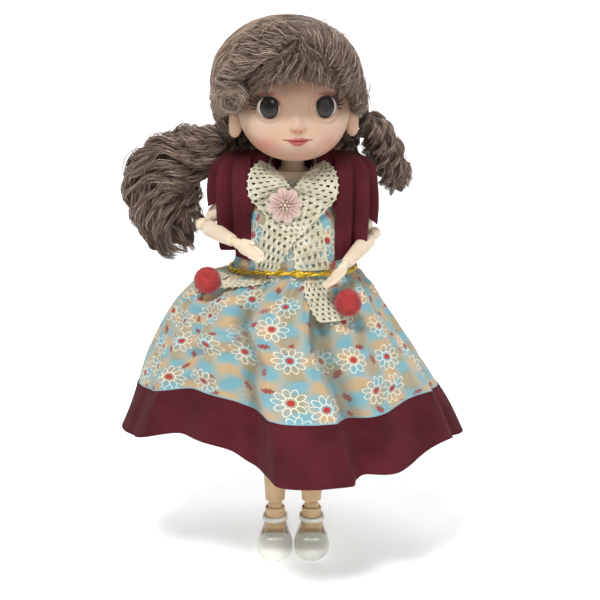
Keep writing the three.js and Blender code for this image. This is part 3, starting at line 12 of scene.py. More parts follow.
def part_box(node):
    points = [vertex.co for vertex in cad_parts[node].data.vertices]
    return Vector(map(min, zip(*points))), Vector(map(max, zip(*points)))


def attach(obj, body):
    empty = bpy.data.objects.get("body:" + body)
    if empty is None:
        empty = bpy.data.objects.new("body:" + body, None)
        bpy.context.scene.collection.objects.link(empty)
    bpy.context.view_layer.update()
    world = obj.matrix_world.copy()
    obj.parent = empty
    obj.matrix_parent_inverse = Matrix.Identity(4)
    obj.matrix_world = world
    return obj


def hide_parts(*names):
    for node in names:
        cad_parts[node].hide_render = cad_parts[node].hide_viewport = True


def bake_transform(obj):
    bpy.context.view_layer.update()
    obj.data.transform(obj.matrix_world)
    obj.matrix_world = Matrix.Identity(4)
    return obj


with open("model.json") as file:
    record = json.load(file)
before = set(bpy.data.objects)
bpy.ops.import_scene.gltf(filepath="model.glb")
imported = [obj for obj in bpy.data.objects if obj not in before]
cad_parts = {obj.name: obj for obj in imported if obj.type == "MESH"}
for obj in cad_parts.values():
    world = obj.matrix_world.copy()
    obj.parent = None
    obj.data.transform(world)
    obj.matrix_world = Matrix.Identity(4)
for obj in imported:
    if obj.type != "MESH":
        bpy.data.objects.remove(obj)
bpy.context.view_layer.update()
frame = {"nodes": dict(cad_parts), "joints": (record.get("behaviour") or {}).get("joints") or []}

MM = 0.001
TURN = 2 * pi
SIDES = (("right", -1), ("left", 1))
scene = bpy.context.scene
rng = np.random.default_rng(11)

# Heights and sizes shared with the CAD, in millimetres from the doll's own origin on the floor
NECK_BACK = 3.5
COLLAR = 215.0
NECK_LENGTH = 13.5
SHOULDER = 208.0
WAIST = 162.0
WAIST_WIDE, WAIST_DEEP = 32.5, 25
# The middle of the head, from the joint that it nods on
HEAD_MIDDLE = array([0, -2, 34])
# How near its axis a turned form's profile starts and ends
TIP = 0.01
joints = {joint["name"]: joint for joint in frame["joints"]}
ORIGIN = array(joints["neck_turn"]["pos_m"]) / MM - array([0, NECK_BACK, COLLAR])
head_axis = joints["head_nod"]["axis"]
head_turn = np.arctan2(head_axis[1], head_axis[0])


def place(joint):
    return array(joints[joint]["pos_m"]) / MM - ORIGIN


def node_middle(node):
    low, high = (array(corner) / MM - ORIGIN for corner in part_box(node))
    return (low + high) / 2


def head_point(points):
    """Points measured from the middle of the head, turned with it."""
    c, s = cos(head_turn), sin(head_turn)
    turned = (points + HEAD_MIDDLE) @ array([[c, s, 0], [-s, c, 0], [0, 0, 1]])
    return turned + array([0, NECK_BACK, COLLAR + NECK_LENGTH])


def new_object(name, data):
    made = bpy.data.objects.new(name, data)
    scene.collection.objects.link(made)
    return made


def aim(thing, direction):
    thing.rotation_euler = direction.to_track_quat("-Z", "Y").to_euler()


# Camera
TARGET = array([3.84, 0, 143])
DISTANCE, ELEVATION = 900, radians(14.5)


def make_camera():
    camera = new_object("camera", bpy.data.cameras.new("camera"))
    back = Vector((0, -cos(ELEVATION), sin(ELEVATION)))
    camera.location = Vector((TARGET + ORIGIN) * MM) + back * DISTANCE * MM
    aim(camera, -back)
    camera.data.sensor_width = 36
    camera.data.lens = 98.3
    scene.camera = camera


make_camera()

# Shapes: each is (points in millimetres, list of face arrays)


def smoothstep(value, low, high):
    share = clip((value - low) / (high - low), 0, 1)
    return share * share * (3 - 2 * share)


def bell(value, middle, width):
    return exp(-0.5 * ((value - middle) / width) ** 2)


def hump(value, middle, width):
    return exp(-(((value - middle) / width) ** 2))


def round_power(value, power=2.2):
    return np.sign(value) * np.abs(value) ** (2 / power)


def dome(share, power):
    """How high a rounded form stands at a share of the way to its edge."""
    return (1 - clip(np.abs(share), 0, 1) ** power) ** (1 / power)


def oval(a, b, power):
    return (np.abs(a) ** power + np.abs(b) ** power) ** (1 / power)


def unit(vectors):
    return vectors / (np.linalg.norm(vectors, axis=-1, keepdims=True) + 1e-12)


def spread(*values):
    """Rows and columns of values as one grid of points."""
    return stack(np.broadcast_arrays(*values), -1)


def circle(count):
    return arange(count) * TURN / count


def grid_quads(rows, columns, wrap_rows=False, wrap_columns=False):
    i, j = np.meshgrid(
        arange(rows if wrap_rows else rows - 1),
        arange(columns if wrap_columns else columns - 1),
        indexing="ij",
    )
    below, beside = (i + 1) % rows, (j + 1) % columns
    corners = [i * columns + j, i * columns + beside, below * columns + beside, below * columns + j]
    return stack(corners, -1).reshape(-1, 4)


def spline(points, count):
    """A smooth curve through points, or values, sampled evenly along its stations."""
    points = array(points, float)
    padded = concatenate([[2 * points[0] - points[1]], points, [2 * points[-1] - points[-2]]])
    along = linspace(0, len(points) - 1, count)
    i = minimum(along.astype(int), len(points) - 2)
    u = (along - i).reshape(-1, *[1] * (points.ndim - 1))
    a, b, c, d = (padded[i + k] for k in range(4))
    return 0.5 * (2 * b + (c - a) * u + (2 * a - 5 * b + 4 * c - d) * u**2 + (3 * b - a - 3 * c + d) * u**3)


def frames_along(paths, closed=False):
    """Two cross directions along many paths (count, steps, 3)."""
    if closed:
        tangent = unit(np.roll(paths, -1, 1) - np.roll(paths, 1, 1))
    else:
        tangent = unit(np.gradient(paths, axis=1))
    helper = where(np.abs(tangent[:, 0, 2:3]) > 0.9, [[1.0, 0, 0]], [[0, 0, 1.0]])
    normal = cross(tangent[:, 0], helper)
    normals = np.empty_like(paths)
    for i in range(paths.shape[1]):
        normal = unit(normal - np.sum(normal * tangent[:, i], 1, keepdims=True) * tangent[:, i])
        normals[:, i] = normal
    return normals, cross(tangent, normals)


def frame_along(path):
    return (rows[0] for rows in frames_along(path[None]))


def wound(angle, normal, across):
    """Directions at angles round a path."""
    return cos(angle)[..., None] * normal + sin(angle)[..., None] * across


def tubes(paths, radii, sides=4, closed=False):
    """Round tubes along many paths at once."""
    count, steps, _ = paths.shape
    normals, across = frames_along(paths, closed)
    ring = wound(circle(sides), normals[:, :, None], across[:, :, None])
    points = paths[:, :, None] + np.broadcast_to(radii, (count, steps))[:, :, None, None] * ring
    start = (arange(count) * steps * sides)[:, None]
    groups = [(grid_quads(steps, sides, closed, True)[None] + start[..., None]).reshape(-1, 4)]
    if not closed:
        groups += [start + arange(sides)[::-1], start + (steps - 1) * sides + arange(sides)]
    return points.reshape(-1, 3), groups


def tube(path, radii, sides, closed=False):
    return tubes(path[None], array(radii)[None], sides, closed)


def grid_normals(grid):
    return unit(cross(np.gradient(grid, axis=0), np.gradient(grid, axis=1)))


def sheet_solid(grid, thickness):
    """A closed sheet of even thickness about a grid of points (rows, columns, 3)."""
    rows, columns, _ = grid.shape
    half = grid_normals(grid) * thickness / 2
    quads, back = grid_quads(rows, columns), rows * columns
    i, j = arange(rows), arange(columns)
    rim = concatenate([
        j[::-1], i[1:] * columns, (rows - 1) * columns + j[1:], i[::-1][1:] * columns + columns - 1,
    ])
    ahead = np.roll(rim, -1)
    edge = stack([ahead, rim, rim + back, ahead + back], -1)[:-1]
    points = concatenate([grid + half, grid - half]).reshape(-1, 3)
    return points, [concatenate([quads[:, ::-1], quads + back, edge])]


def capped(rings):
    """A closed form from rings of points (rows, sides, 3), with flat ends."""
    rows, sides, _ = rings.shape
    ends = arange(sides)[::-1][None], (rows - 1) * sides + arange(sides)[None]
    return rings.reshape(-1, 3), [grid_quads(rows, sides, False, True), *ends]


def lathe(profile, sides=48):
    """A form turned round Z, its profile (radius, height) running upwards."""
    radius, height = array(profile, float).T[..., None]
    return capped(spread(radius * cos(circle(sides)), radius * sin(circle(sides)), height))


def ball(centre, radius, sides=32, squash=(1, 1, 1)):
    angle = linspace(-pi / 2 + 1e-3, pi / 2 - 1e-3, sides // 2)
    points, groups = lathe(spread(radius * cos(angle), radius * sin(angle)), sides)
    return points * array(squash) + array(centre), groups


def moved(shape, offset):
    return shape[0] + offset, shape[1]


def turned_to(shape, direction, origin, spin=None):
    """A shape made along -Z, laid along a direction from an origin. spin is where its +X points."""
    back = -unit(array(direction, float))
    side = array(spin if spin is not None else ([0, 1, 0] if np.abs(back[0]) > 0.9 else [1, 0, 0]), float)
    side = unit(side - back * (side @ back))
    return shape[0] @ stack([side, cross(back, side), back]) + array(origin), shape[1]


def shade_smooth(mesh):
    mesh.polygons.foreach_set("use_smooth", np.ones(len(mesh.polygons), bool))


def build(name, parts, finish, body=None, nodes=(), marks=None):
    """One piece from shapes, riding on a body in place of CAD nodes. marks are values at each point."""
    points = np.vstack([shape[0] for shape in parts])
    corners, sizes, base = [], [], 0
    for shape_points, groups in parts:
        for faces in groups:
            corners.append((faces + base).ravel())
            sizes.append(full(len(faces), faces.shape[1]))
        base += len(shape_points)
    corners, sizes = concatenate(corners), concatenate(sizes)
    mesh = bpy.data.meshes.new(name)
    mesh.vertices.add(len(points))
    mesh.vertices.foreach_set("co", ((points + ORIGIN) * MM).astype(np.float32).ravel())
    mesh.loops.add(len(corners))
    mesh.loops.foreach_set("vertex_index", corners.astype(np.int32))
    mesh.polygons.add(len(sizes))
    mesh.polygons.foreach_set("loop_start", (np.cumsum(sizes) - sizes).astype(np.int32))
    mesh.update(calc_edges=True)
    shade_smooth(mesh)
    for key, values in (marks or {}).items():
        flat = np.asarray(values, np.float32)
        kind, field = ("FLOAT", "value") if flat.ndim == 1 else ("FLOAT_VECTOR", "vector")
        mesh.attributes.new(key, kind, "POINT").data.foreach_set(field, flat.ravel())
    mesh.materials.append(paint[finish])
    piece = new_object(name, mesh)
    if body:
        put_on(piece, body, nodes)
    return piece


def put_on(piece, body, nodes=()):
    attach(piece, body)
    if nodes:
        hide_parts(*nodes)


def on_head(name, parts, finish, nodes=(), marks=None):
    """A piece whose shapes are measured from the middle of the head."""
    return build(name, [(head_point(points), groups) for points, groups in parts], finish, "head", nodes, marks)


def evaluated(piece):
    """Applies the piece's modifiers."""
    view = bpy.context.evaluated_depsgraph_get()
    mesh = bpy.data.meshes.new_from_object(piece.evaluated_get(view))
    piece.modifiers.clear()
    piece.data = mesh
    shade_smooth(mesh)
    return piece


def fused(piece, voxel, rounds):
    """Melts a piece's shapes into one soft skin."""
    remesh = piece.modifiers.new("remesh", "REMESH")
    remesh.mode = "VOXEL"
    remesh.voxel_size = voxel * MM
    smooth = piece.modifiers.new("smooth", "SMOOTH")
    smooth.factor = 0.5
    smooth.iterations = rounds
    return evaluated(piece)


def carved(piece, shape, finish):
    """Cuts a shape out of a piece."""
    tool = build("tool", [shape], finish)
    cut = piece.modifiers.new("cut", "BOOLEAN")
    cut.operation = "DIFFERENCE"
    cut.solver = "EXACT"
    cut.object = tool
    evaluated(piece)
    bpy.data.objects.remove(tool)


# Materials: a colour is one of a material's values, or red, green and blue as seen on a screen, 0 to 255


def tint(red, green, blue):
    """The renderer's linear values of a colour."""
    share = array([red, green, blue]) / 255
    linear = where(share <= 0.04045, share / 12.92, ((share + 0.055) / 1.055) ** 2.4)
    return (*linear.tolist(), 1)


class Value:
    """An output of one of a material's nodes. Arithmetic with it adds the nodes that it takes."""

    def __init__(self, shader, socket):
        self.shader, self.socket = shader, socket

    def __add__(self, other):
        return self.shader.math("ADD", self, other)

    def __sub__(self, other):
        return self.shader.math("SUBTRACT", self, other)

    def __rsub__(self, other):
        return self.shader.math("SUBTRACT", other, self)

    def __mul__(self, other):
        return self.shader.math("MULTIPLY", self, other)

    def __truediv__(self, other):
        return self.shader.math("DIVIDE", self, other)

    def __pow__(self, other):
        return self.shader.math("POWER", self, other)

    def beside(self, output):
        """Another output of the same node."""
        return Value(self.shader, self.socket.node.outputs[output])

    def between(self, low, high):
        """0 below low and 1 above high."""
        inputs = {"Value": self, "From Min": low, "From Max": high}
        return self.shader.add("MapRange", 0, inputs, interpolation_type="SMOOTHSTEP")


class Shader:
    """A material's nodes, with short ways to add and join them."""

    def __init__(self, name, **settings):
        self.material = bpy.data.materials.new(name)
        self.material.use_nodes = True
        self.tree = self.material.node_tree
        self.set(**settings)
        self.where = self.add("TexCoord", "Object")

    def set(self, **settings):
        for key, value in settings.items():
            self.feed(self.tree.nodes["Principled BSDF"].inputs[key.replace("_", " ")], value)

    def feed(self, socket, value):
        if isinstance(value, Value):
            self.tree.links.new(value.socket, socket)
        else:
            socket.default_value = value

    def add(self, kind, output=0, inputs=None, **settings):
        """Adds a node and gives one of its outputs."""
        made = self.tree.nodes.new(f"ShaderNode{kind}")
        for key, value in settings.items():
            setattr(made, key, value)
        for key, value in (inputs or {}).items():
            self.feed(made.inputs[key], value)
        return Value(self, made.outputs[output])

    def math(self, operation, *values, clamp=False):
        return self.add("Math", 0, dict(enumerate(values)), operation=operation, use_clamp=clamp)

    def vector(self, operation, *values):
        return self.add("VectorMath", 0, dict(enumerate(values)), operation=operation)

    def axes(self, vector):
        return self.add("SeparateXYZ", 0, {"Vector": vector})

    def mix(self, share, first, second):
        first, second = (tint(*c) if isinstance(c, tuple) else c for c in (first, second))
        return self.add("Mix", 2, {0: share, 6: first, 7: second}, data_type="RGBA")

    def noise(self, per_mm, detail=2.0, where=None, scale=1 / MM):
        inputs = {"Vector": where or self.where, "Scale": per_mm * scale, "Detail": detail}
        return self.add("TexNoise", "Fac", inputs)

    def mark(self, name, output="Fac"):
        return self.add("Attribute", output, attribute_name=name)

    def bump(self, height, distance):
        self.set(Normal=self.add("Bump", 0, {"Height": height, "Distance": distance * MM}))
        return self


def plastic(name, colour, shade, roughness=0.42, gloss=0.4):
    """Moulded plastic: a little cloudy, with fine grain."""
    made = Shader(name, Specular_IOR_Level=gloss, Subsurface_Weight=0.12, Subsurface_Scale=0.002)
    cloud, grain = made.noise(0.07, 3), made.noise(2.2)
    made.set(Base_Color=made.mix(cloud.between(0.35, 0.7), colour, shade))
    made.set(Roughness=made.math("MULTIPLY_ADD", grain, 0.12, roughness - 0.06))
    return made.bump(grain, 0.02)


def cloth(name, colour, shade, pitch=0.38, sheen=0.25):
    """Woven cloth: threads both ways along the weave's own coordinates, with slight wear."""
    made = Shader(name, Roughness=0.9, Sheen_Weight=sheen, Sheen_Roughness=0.5, Specular_IOR_Level=0.15)
    made.weave = made.mark("weave", "Vector")
    ways = made.axes(made.weave)
    waves = [made.math("SINE", ways.beside(i) * (TURN / pitch)) for i in (0, 1)]
    made.slub = made.noise(1.1, 3, made.weave, 1)
    base = made.mix(made.noise(0.05, 4).between(0.3, 0.7), colour, shade)
    made.set(Base_Color=made.mix(made.slub.between(0.35, 0.75) * 0.25, base, shade))
    return made.bump(made.math("MULTIPLY_ADD", made.slub, 0.8, waves[0] * waves[1]), 0.05)


# Paint on the face: its mark, strength and colour
FACE_PAINT = (
    ("shade", 0.95, (128, 93, 73)),
    ("blush", 0.62, (186, 98, 78)),
    ("nostril_and_shade", 0.6, (176, 88, 68)),
    # The nostrils' colour, also laid as painted shade under the nose and beside its wings
    ("lid", 0.85, (120, 62, 50)),
    ("lip", 0.92, (172, 76, 68)),
    ("lip_line", 0.9, (128, 46, 42)),
)


def face_plastic():
    made = Shader("face_plastic", Specular_IOR_Level=0.35, Subsurface_Weight=0.15, Subsurface_Scale=0.002)
    colour = made.mix(made.noise(0.06, 3).between(0.3, 0.7), (209, 181, 157), (199, 169, 144))
    for mark, strength, layer in FACE_PAINT:
        colour = made.mix(made.math("MULTIPLY", made.mark(mark), strength, clamp=True), colour, layer)
    made.set(Base_Color=colour, Roughness=made.math("MULTIPLY_ADD", made.mark("lip"), -0.14, 0.44))
    return made.bump(made.noise(2.0), 0.015)


def eye_glass():
    made = Shader("eye_glass", Roughness=0.2, Coat_Weight=0.2, Coat_Roughness=0.05, Specular_IOR_Level=0.2)
    spot, rise = made.mark("spot"), made.mark("rise")
    deep = made.mix(rise.between(-5.5, 3.0), (56, 47, 43), (28, 23, 21))
    iris = made.mix(made.noise(1.4, 3).between(0.45, 0.7) * 0.5, deep, (60, 48, 42))
    pupil = made.mix(spot.between(1.9, 2.8), (20, 17, 16), iris)
    rim = made.mix(spot.between(4.4, 4.85), pupil, (16, 12, 11))
    # The whites darken away from the iris, as painted shade under the lids and in the corners
    white = made.mix(spot.between(5.6, 7.0), (186, 173, 165), (140, 122, 114))
    made.set(Base_Color=made.mix(spot.between(4.9, 5.15), rim, white))
    return made


def lace_thread():
    """Spun cotton thread with a fine twist, painted darker in its hollows as shade."""
    made = Shader("lace_thread", Roughness=0.85, Sheen_Weight=0.2, Specular_IOR_Level=0.2)
    light, dark = (230, 225, 203), (200, 194, 168)
    twist = made.noise(2.6, 3)
    base = made.mix(made.noise(0.12, 3).between(0.3, 0.7), light, dark)
    made.set(Base_Color=made.mix(twist.between(0.4, 0.7) * 0.35, base, dark))
    return made.bump(twist, 0.08)


def red_felt():
    made = Shader("red_felt", Roughness=0.95, Sheen_Weight=0.5, Sheen_Roughness=0.4, Specular_IOR_Level=0.1)
    nap = made.noise(3.2, 3)
    base = made.mix(made.noise(0.5, 4).between(0.3, 0.72), (178, 60, 60), (166, 52, 54))
    made.set(Base_Color=made.mix(nap * 0.25, base, (192, 84, 80)))
    return made.bump(nap, 0.06)


def gold_lurex():
    made = Shader("gold_lurex", Metallic=0.85)
    flakes = made.noise(3.0)
    made.set(Base_Color=made.mix(made.noise(0.4, 3).between(0.3, 0.7), (244, 212, 70), (206, 166, 44)))
    made.set(Roughness=made.math("MULTIPLY_ADD", flakes, 0.3, 0.18))
    return made.bump(flakes, 0.06)


def petal_cloth():
    made = Shader("petal_cloth", Roughness=0.85, Sheen_Weight=0.2, Specular_IOR_Level=0.2)
    weave = made.noise(3.0)
    base = made.mix(made.mark("out").between(0.25, 0.95), (186, 150, 141), (206, 183, 172))
    base = made.mix(made.mark("rib") * 0.85, base, (128, 80, 80))
    made.set(Base_Color=made.mix(weave * 0.2, base, (234, 218, 208)))
    return made.bump(weave, 0.06)


def print_cotton():
    """Cotton print: a soft check of blue and tan, outlined daisies and small red leaves, and painted shade in the
    folds.
    """
    made = cloth("print_cotton", (168, 206, 214), (158, 198, 208), 0.34)
    weave = made.weave
    drift = made.add("TexNoise", "Color", {"Vector": weave, "Scale": 0.075, "Detail": 3.0})
    wobble = made.vector("MULTIPLY", made.vector("SUBTRACT", drift, (0.5, 0.5, 0.5)), (14.0, 11.0, 0.0))
    soft = made.axes(made.vector("ADD", weave, wobble))
    across = made.math("SINE", soft * (TURN / 21))
    down = made.math("SINE", soft.beside(1) * (TURN / 17))
    colour = made.mix((across * down).between(-0.85, 0.8), (120, 180, 196), (210, 174, 128))
    bars = across.between(0.1, 0.8) * down.between(-0.8, -0.1)
    colour = made.mix(bars * 0.5, colour, (130, 144, 124))
    colour = made.mix(made.slub.between(0.3, 0.8) * 0.3, colour, (182, 196, 184))

    def motif(offset, spacing, seed):
        """Places scattered over the cloth: distances across and down, turned by chance, and a chance value."""
        moved = made.vector("ADD", weave, offset)
        inputs = {"Vector": moved, "Scale": 1 / spacing, "Randomness": 0.55}
        cell = made.add("TexVoronoi", "Position", inputs, voronoi_dimensions="2D")
        chance = made.add("SeparateColor", 0, {"Color": cell.beside("Color")})
        turn = made.math("MULTIPLY_ADD", chance, 6.28, seed)
        inputs = {"Vector": made.vector("SUBTRACT", moved, cell), "Angle": turn}
        spots = made.axes(made.add("VectorRotate", 0, inputs, rotation_type="Z_AXIS"))
        return spots, spots.beside(1), chance.beside(1)

    # Daisies: petals drawn as ovals in equal wedges round a red heart
    x, y, chance = motif((3.0, 5.0, 0), 20.0, 0.4)
    petals = 10
    reach = made.math("SQRT", x * x + y * y)
    wedge = made.math("FLOORED_MODULO", made.math("ARCTAN2", y, x), TURN / petals) - pi / petals
    forward = reach * made.math("COSINE", wedge) - 5.2
    aside = reach * made.math("SINE", wedge)
    form = made.math("SQRT", (forward / 2.75) ** 2.0 + (aside / 1.62) ** 2.0)
    drawn = 1.0 - made.math("ABSOLUTE", form - 0.9).between(0.09, 0.15)
    there = chance.between(0.1, 0.14)
    colour = made.mix(drawn * there * 0.95, colour, (242, 238, 220))
    colour = made.mix((1.0 - reach.between(1.5, 1.8)) * there, colour, (190, 62, 58))
    daisy = (1.0 - reach.between(7.0, 8.0)) * there
    # Leaves, where no daisy lies
    x, y, chance = motif((11.0, 14.0, 0), 13.5, 1.9)
    width = made.math("ABSOLUTE", y + made.math("SINE", x * 3.4) * 0.4) / 1.45
    leaf = made.math("ABSOLUTE", x / 3.0) ** 1.6 + width**1.6
    there = chance.between(0.24, 0.28) * (1.0 - daisy)
    colour = made.mix((1.0 - leaf.between(0.85, 1.1)) * there * 0.9, colour, (160, 62, 62))
    colour = made.mix(made.mark("selvage") * 0.85, colour, (150, 200, 214))
    # Painted shade, darker where the skirt's folds sink in
    made.set(Base_Color=made.mix(made.mark("deep") * 0.45, colour, (96, 100, 84)))
    return made


def hair_fibre():
    made = Shader("hair_fibre", Roughness=0.36, Specular_IOR_Level=0.55)
    chance = made.mark("chance")
    base = made.mix(chance.between(0.05, 0.75), (84, 65, 55), (142, 119, 103))
    # The palest strands are partly pale fibres and partly painted highlight
    base = made.mix(chance.between(0.72, 1.0) * 0.85, base, (210, 188, 168))
    made.set(Base_Color=made.mix(made.noise(0.9) * 0.35, base, (96, 78, 68)))
    return made


def hair_shade():
    made = Shader("hair_shade", Roughness=0.7, Specular_IOR_Level=0.3)
    strand = made.noise(0.9, 4)
    made.set(Base_Color=made.mix(strand, (58, 46, 41), (92, 76, 67)))
    return made.bump(strand, 0.5)


shaders = {
    "arm": plastic("arm_plastic", (236, 219, 196), (228, 206, 180)),
    "leg": plastic("leg_plastic", (206, 176, 138), (196, 164, 124)),
    "bracket": plastic("bracket_plastic", (216, 212, 204), (200, 196, 190), 0.6),
    "shoe": plastic("shoe_vinyl", (232, 232, 222), (222, 224, 212), 0.34, 0.5),
    "lash": plastic("lash_fibre", (30, 20, 18), (48, 30, 26), 0.5),
    "bead": plastic("pearl_bead", (214, 192, 172), (168, 142, 126), 0.2, 0.7),
    "burgundy": cloth("burgundy_cotton", (95, 33, 43), (77, 26, 34), sheen=0.02),
    "tie": cloth("hair_elastic", (70, 56, 49), (54, 43, 38)),
    "print": print_cotton(),
    "face": face_plastic(),
    "eye": eye_glass(),
    "lace": lace_thread(),
    "felt": red_felt(),
    "gold": gold_lurex(),
    "petal": petal_cloth(),
    "hair": hair_fibre(),
    "under_hair": hair_shade(),
}
paint = {finish: made.material for finish, made in shaders.items()}

# Stage and light: each lamp's place, size, power, the height that it is aimed at, and its spread
LAMPS = {
    "key": ((-0.25, -0.68, 1.35), 0.36, 14.5, 0.16, 180),
    "fill": ((0.75, -0.9, 0.35), 0.9, 2.6, 0.16, 180),
    "eyes": ((-0.12, -0.95, 0.62), 0.14, 0.6, 0.16, 180),
    "back": ((0.2, 0.7, 1.2), 0.8, 4.5, 0.16, 180),
    "feet": ((-0.05, -0.62, 0.2), 0.1, 0.009, -0.006, 12),
}


def make_stage():
    """A pale floor that bends up into the backdrop."""
    size, sunk = 3.0, 0.0002
    bend = linspace(0, pi / 2, 24)
    profile = [(-size, 0.0), *zip(0.6 + 0.5 * sin(bend), 0.5 - 0.5 * cos(bend)), (1.1, size)]
    mesh = bpy.data.meshes.new("floor")
    points = [(x, y, z - sunk) for y, z in profile for x in (-size, size)]
    mesh.from_pydata(points, [], [(2 * i, 2 * i + 1, 2 * i + 3, 2 * i + 2) for i in range(len(profile) - 1)])
    made = Shader("backdrop", Roughness=0.9, Specular_IOR_Level=0.1, Base_Color=(0.92, 0.92, 0.92, 1))
    made.set(Emission_Color=(1, 1, 1, 1), Emission_Strength=0.32)
    mesh.materials.append(made.material)
    new_object("floor", mesh)


def make_lights():
    scene.world = bpy.data.worlds.new("studio")
    scene.world.use_nodes = True
    sky = scene.world.node_tree.nodes["Background"].inputs
    sky["Color"].default_value = (1, 1, 1, 1)
    sky["Strength"].default_value = 0.27
    for name, (spot, size, power, height, angle) in LAMPS.items():
        light = bpy.data.lights.new(name, "AREA")
        light.size = size
        light.energy = power
        light.spread = radians(angle)
        lamp = new_object(name, light)
        lamp.location = spot
        aim(lamp, Vector((0, 0, height)) - lamp.location)
    scene.view_settings.view_transform = "Standard"


make_stage()
make_lights()

# Head, measured from its middle
HEAD_WIDE, HEAD_DEEP, HEAD_UP, HEAD_DOWN = 31.5, 32.3, 32, 39
HEAD_POWER = 2.3
EYE_X, EYE_Z, EYE_TURN = 15.0, -9.7, radians(17)
EYE_HALF = (6.25, 6.1)
NOSE_Z, MOUTH_Z, MOUTH_HALF = -19.5, -26.6, 7.6
# Soft spots of the face: strength, place and width across, place and width up
FACE_SPOTS = {
    "out": (
        (1.1, 2.6, 0.95, -20.3, 1.1), (1.1, -2.6, 0.95, -20.3, 1.1), (-0.5, 0, 4.5, -8, 5),
        (0.7, 17, 7, -25, 6), (0.7, -17, 7, -25, 6), (0.7, 0, 6, -35, 3), (-0.3, 0, 0.9, -23, 1.1),
    ),
    "blush": (
        (0.95, -17, 6, -29, 4), (0.7, 18, 6, -28.5, 4), (0.5, 0, 2, -20.5, 1.5), (0.3, 0, 5, -35, 3),
    ),
    # Painted nostrils, with painted shade under the nose and beside its wings
    "nostril_and_shade": (
        (1, 1.5, 0.6, -21.5, 0.5), (1, -1.5, 0.6, -21.5, 0.5), (0.6, 0, 2.4, -21.9, 0.7),
        (0.35, 3.3, 0.7, -20.6, 1.2), (0.35, -3.3, 0.7, -20.6, 1.2),
    ),
}
EAR_HALF, EAR_PLACE = array([4.5, 3.8, 8.8]), array([31.6, -4, -20.0])
# Lashes: angles at root and tip, and reach
LASHES = ((48, 47, 1.46), (34, 33, 1.62), (20, 18, 1.72), (6, 3, 1.7), (-8, -12, 1.56))


def head_level(z):
    """Half-width, half-depth and forward shift of the head at heights from its middle."""
    below = z < 0
    h = clip(where(below, -z / HEAD_DOWN, z / HEAD_UP), 0, 0.99999)
    half = HEAD_WIDE * dome(h, where(below, 2.45, 2.2))
    return half, HEAD_DEEP * dome(h, where(below, 2.8, 2.2)), where(below, -12.5 * h**2, 0)


def face_depth(x, z):
    half, depth, shift = head_level(np.asarray(z, float))
    return shift - depth * dome(x / half, HEAD_POWER)


def eye_axes(sign):
    """Middle of an eye opening, the way it looks, and the way across it towards the temple."""
    centre = array([sign * EYE_X, face_depth(EYE_X, EYE_Z), EYE_Z])
    look = array([sign * sin(EYE_TURN), -cos(EYE_TURN), 0])
    return centre, look, array([sign * cos(EYE_TURN), sin(EYE_TURN), 0])


def face_forms(x, z):
    """How far the face stands out at places on it, and its painted marks."""
    marks = {
        key: sum(size * bell(x, a, wide) * bell(z, b, tall) for size, a, wide, b, tall in spots)
        for key, spots in FACE_SPOTS.items()
    }
    out = marks.pop("out")
    out += 2.5 * bell(x, 0, 2.0) * where(z > NOSE_Z, bell(z, NOSE_Z, 3.4), bell(z, NOSE_Z, 1.35))
    u = clip(np.abs(x) / MOUTH_HALF, 0, 1)
    rise = z - (MOUTH_Z + 0.75 * u**2)
    upper = 2.15 * (1 - u**1.15) * (1 - 0.24 * hump(x, 0, 1.1)) + 1e-6
    lower = 2.6 * (1 - smoothstep(u, 0.08, 0.85)) + 1e-6
    within = np.abs(x) < MOUTH_HALF
    over = rise > 0
    above, under = clip(rise / upper, 0, 1) * over, clip(-rise / lower, 0, 1) * ~over
    swell = 0.75 * sin(pi * above**0.8) * over + 0.95 * sin(pi * under**0.8) * ~over
    out += swell * (1 - u**3) * within
    out -= 0.55 * hump(rise, 0, 0.32) * (1 - u**6) * within
    marks["lip"] = smoothstep(where(over, upper - rise, lower + rise), -0.2, 0.25) * within
    corner = smoothstep(MOUTH_HALF + 0.6 - np.abs(x), 0, 0.6)
    marks["lip_line"] = hump(rise, 0, 0.27) * corner * (0.45 + 0.55 * smoothstep(u, 0.35, 0.9))
    marks["blush"] = clip(marks["blush"], 0, 1)
    shade = 0.66 * smoothstep(z, -18.5, -12) + 0.34 * smoothstep(z, -8, 4) + 0.55 * smoothstep(z, -25, -35)
    marks["shade"] = clip(shade + 0.5 * smoothstep(np.abs(x), 17, 27) * smoothstep(z, -22, -4), 0, 1)
    marks["lid"] = np.zeros_like(x)
    return out, marks


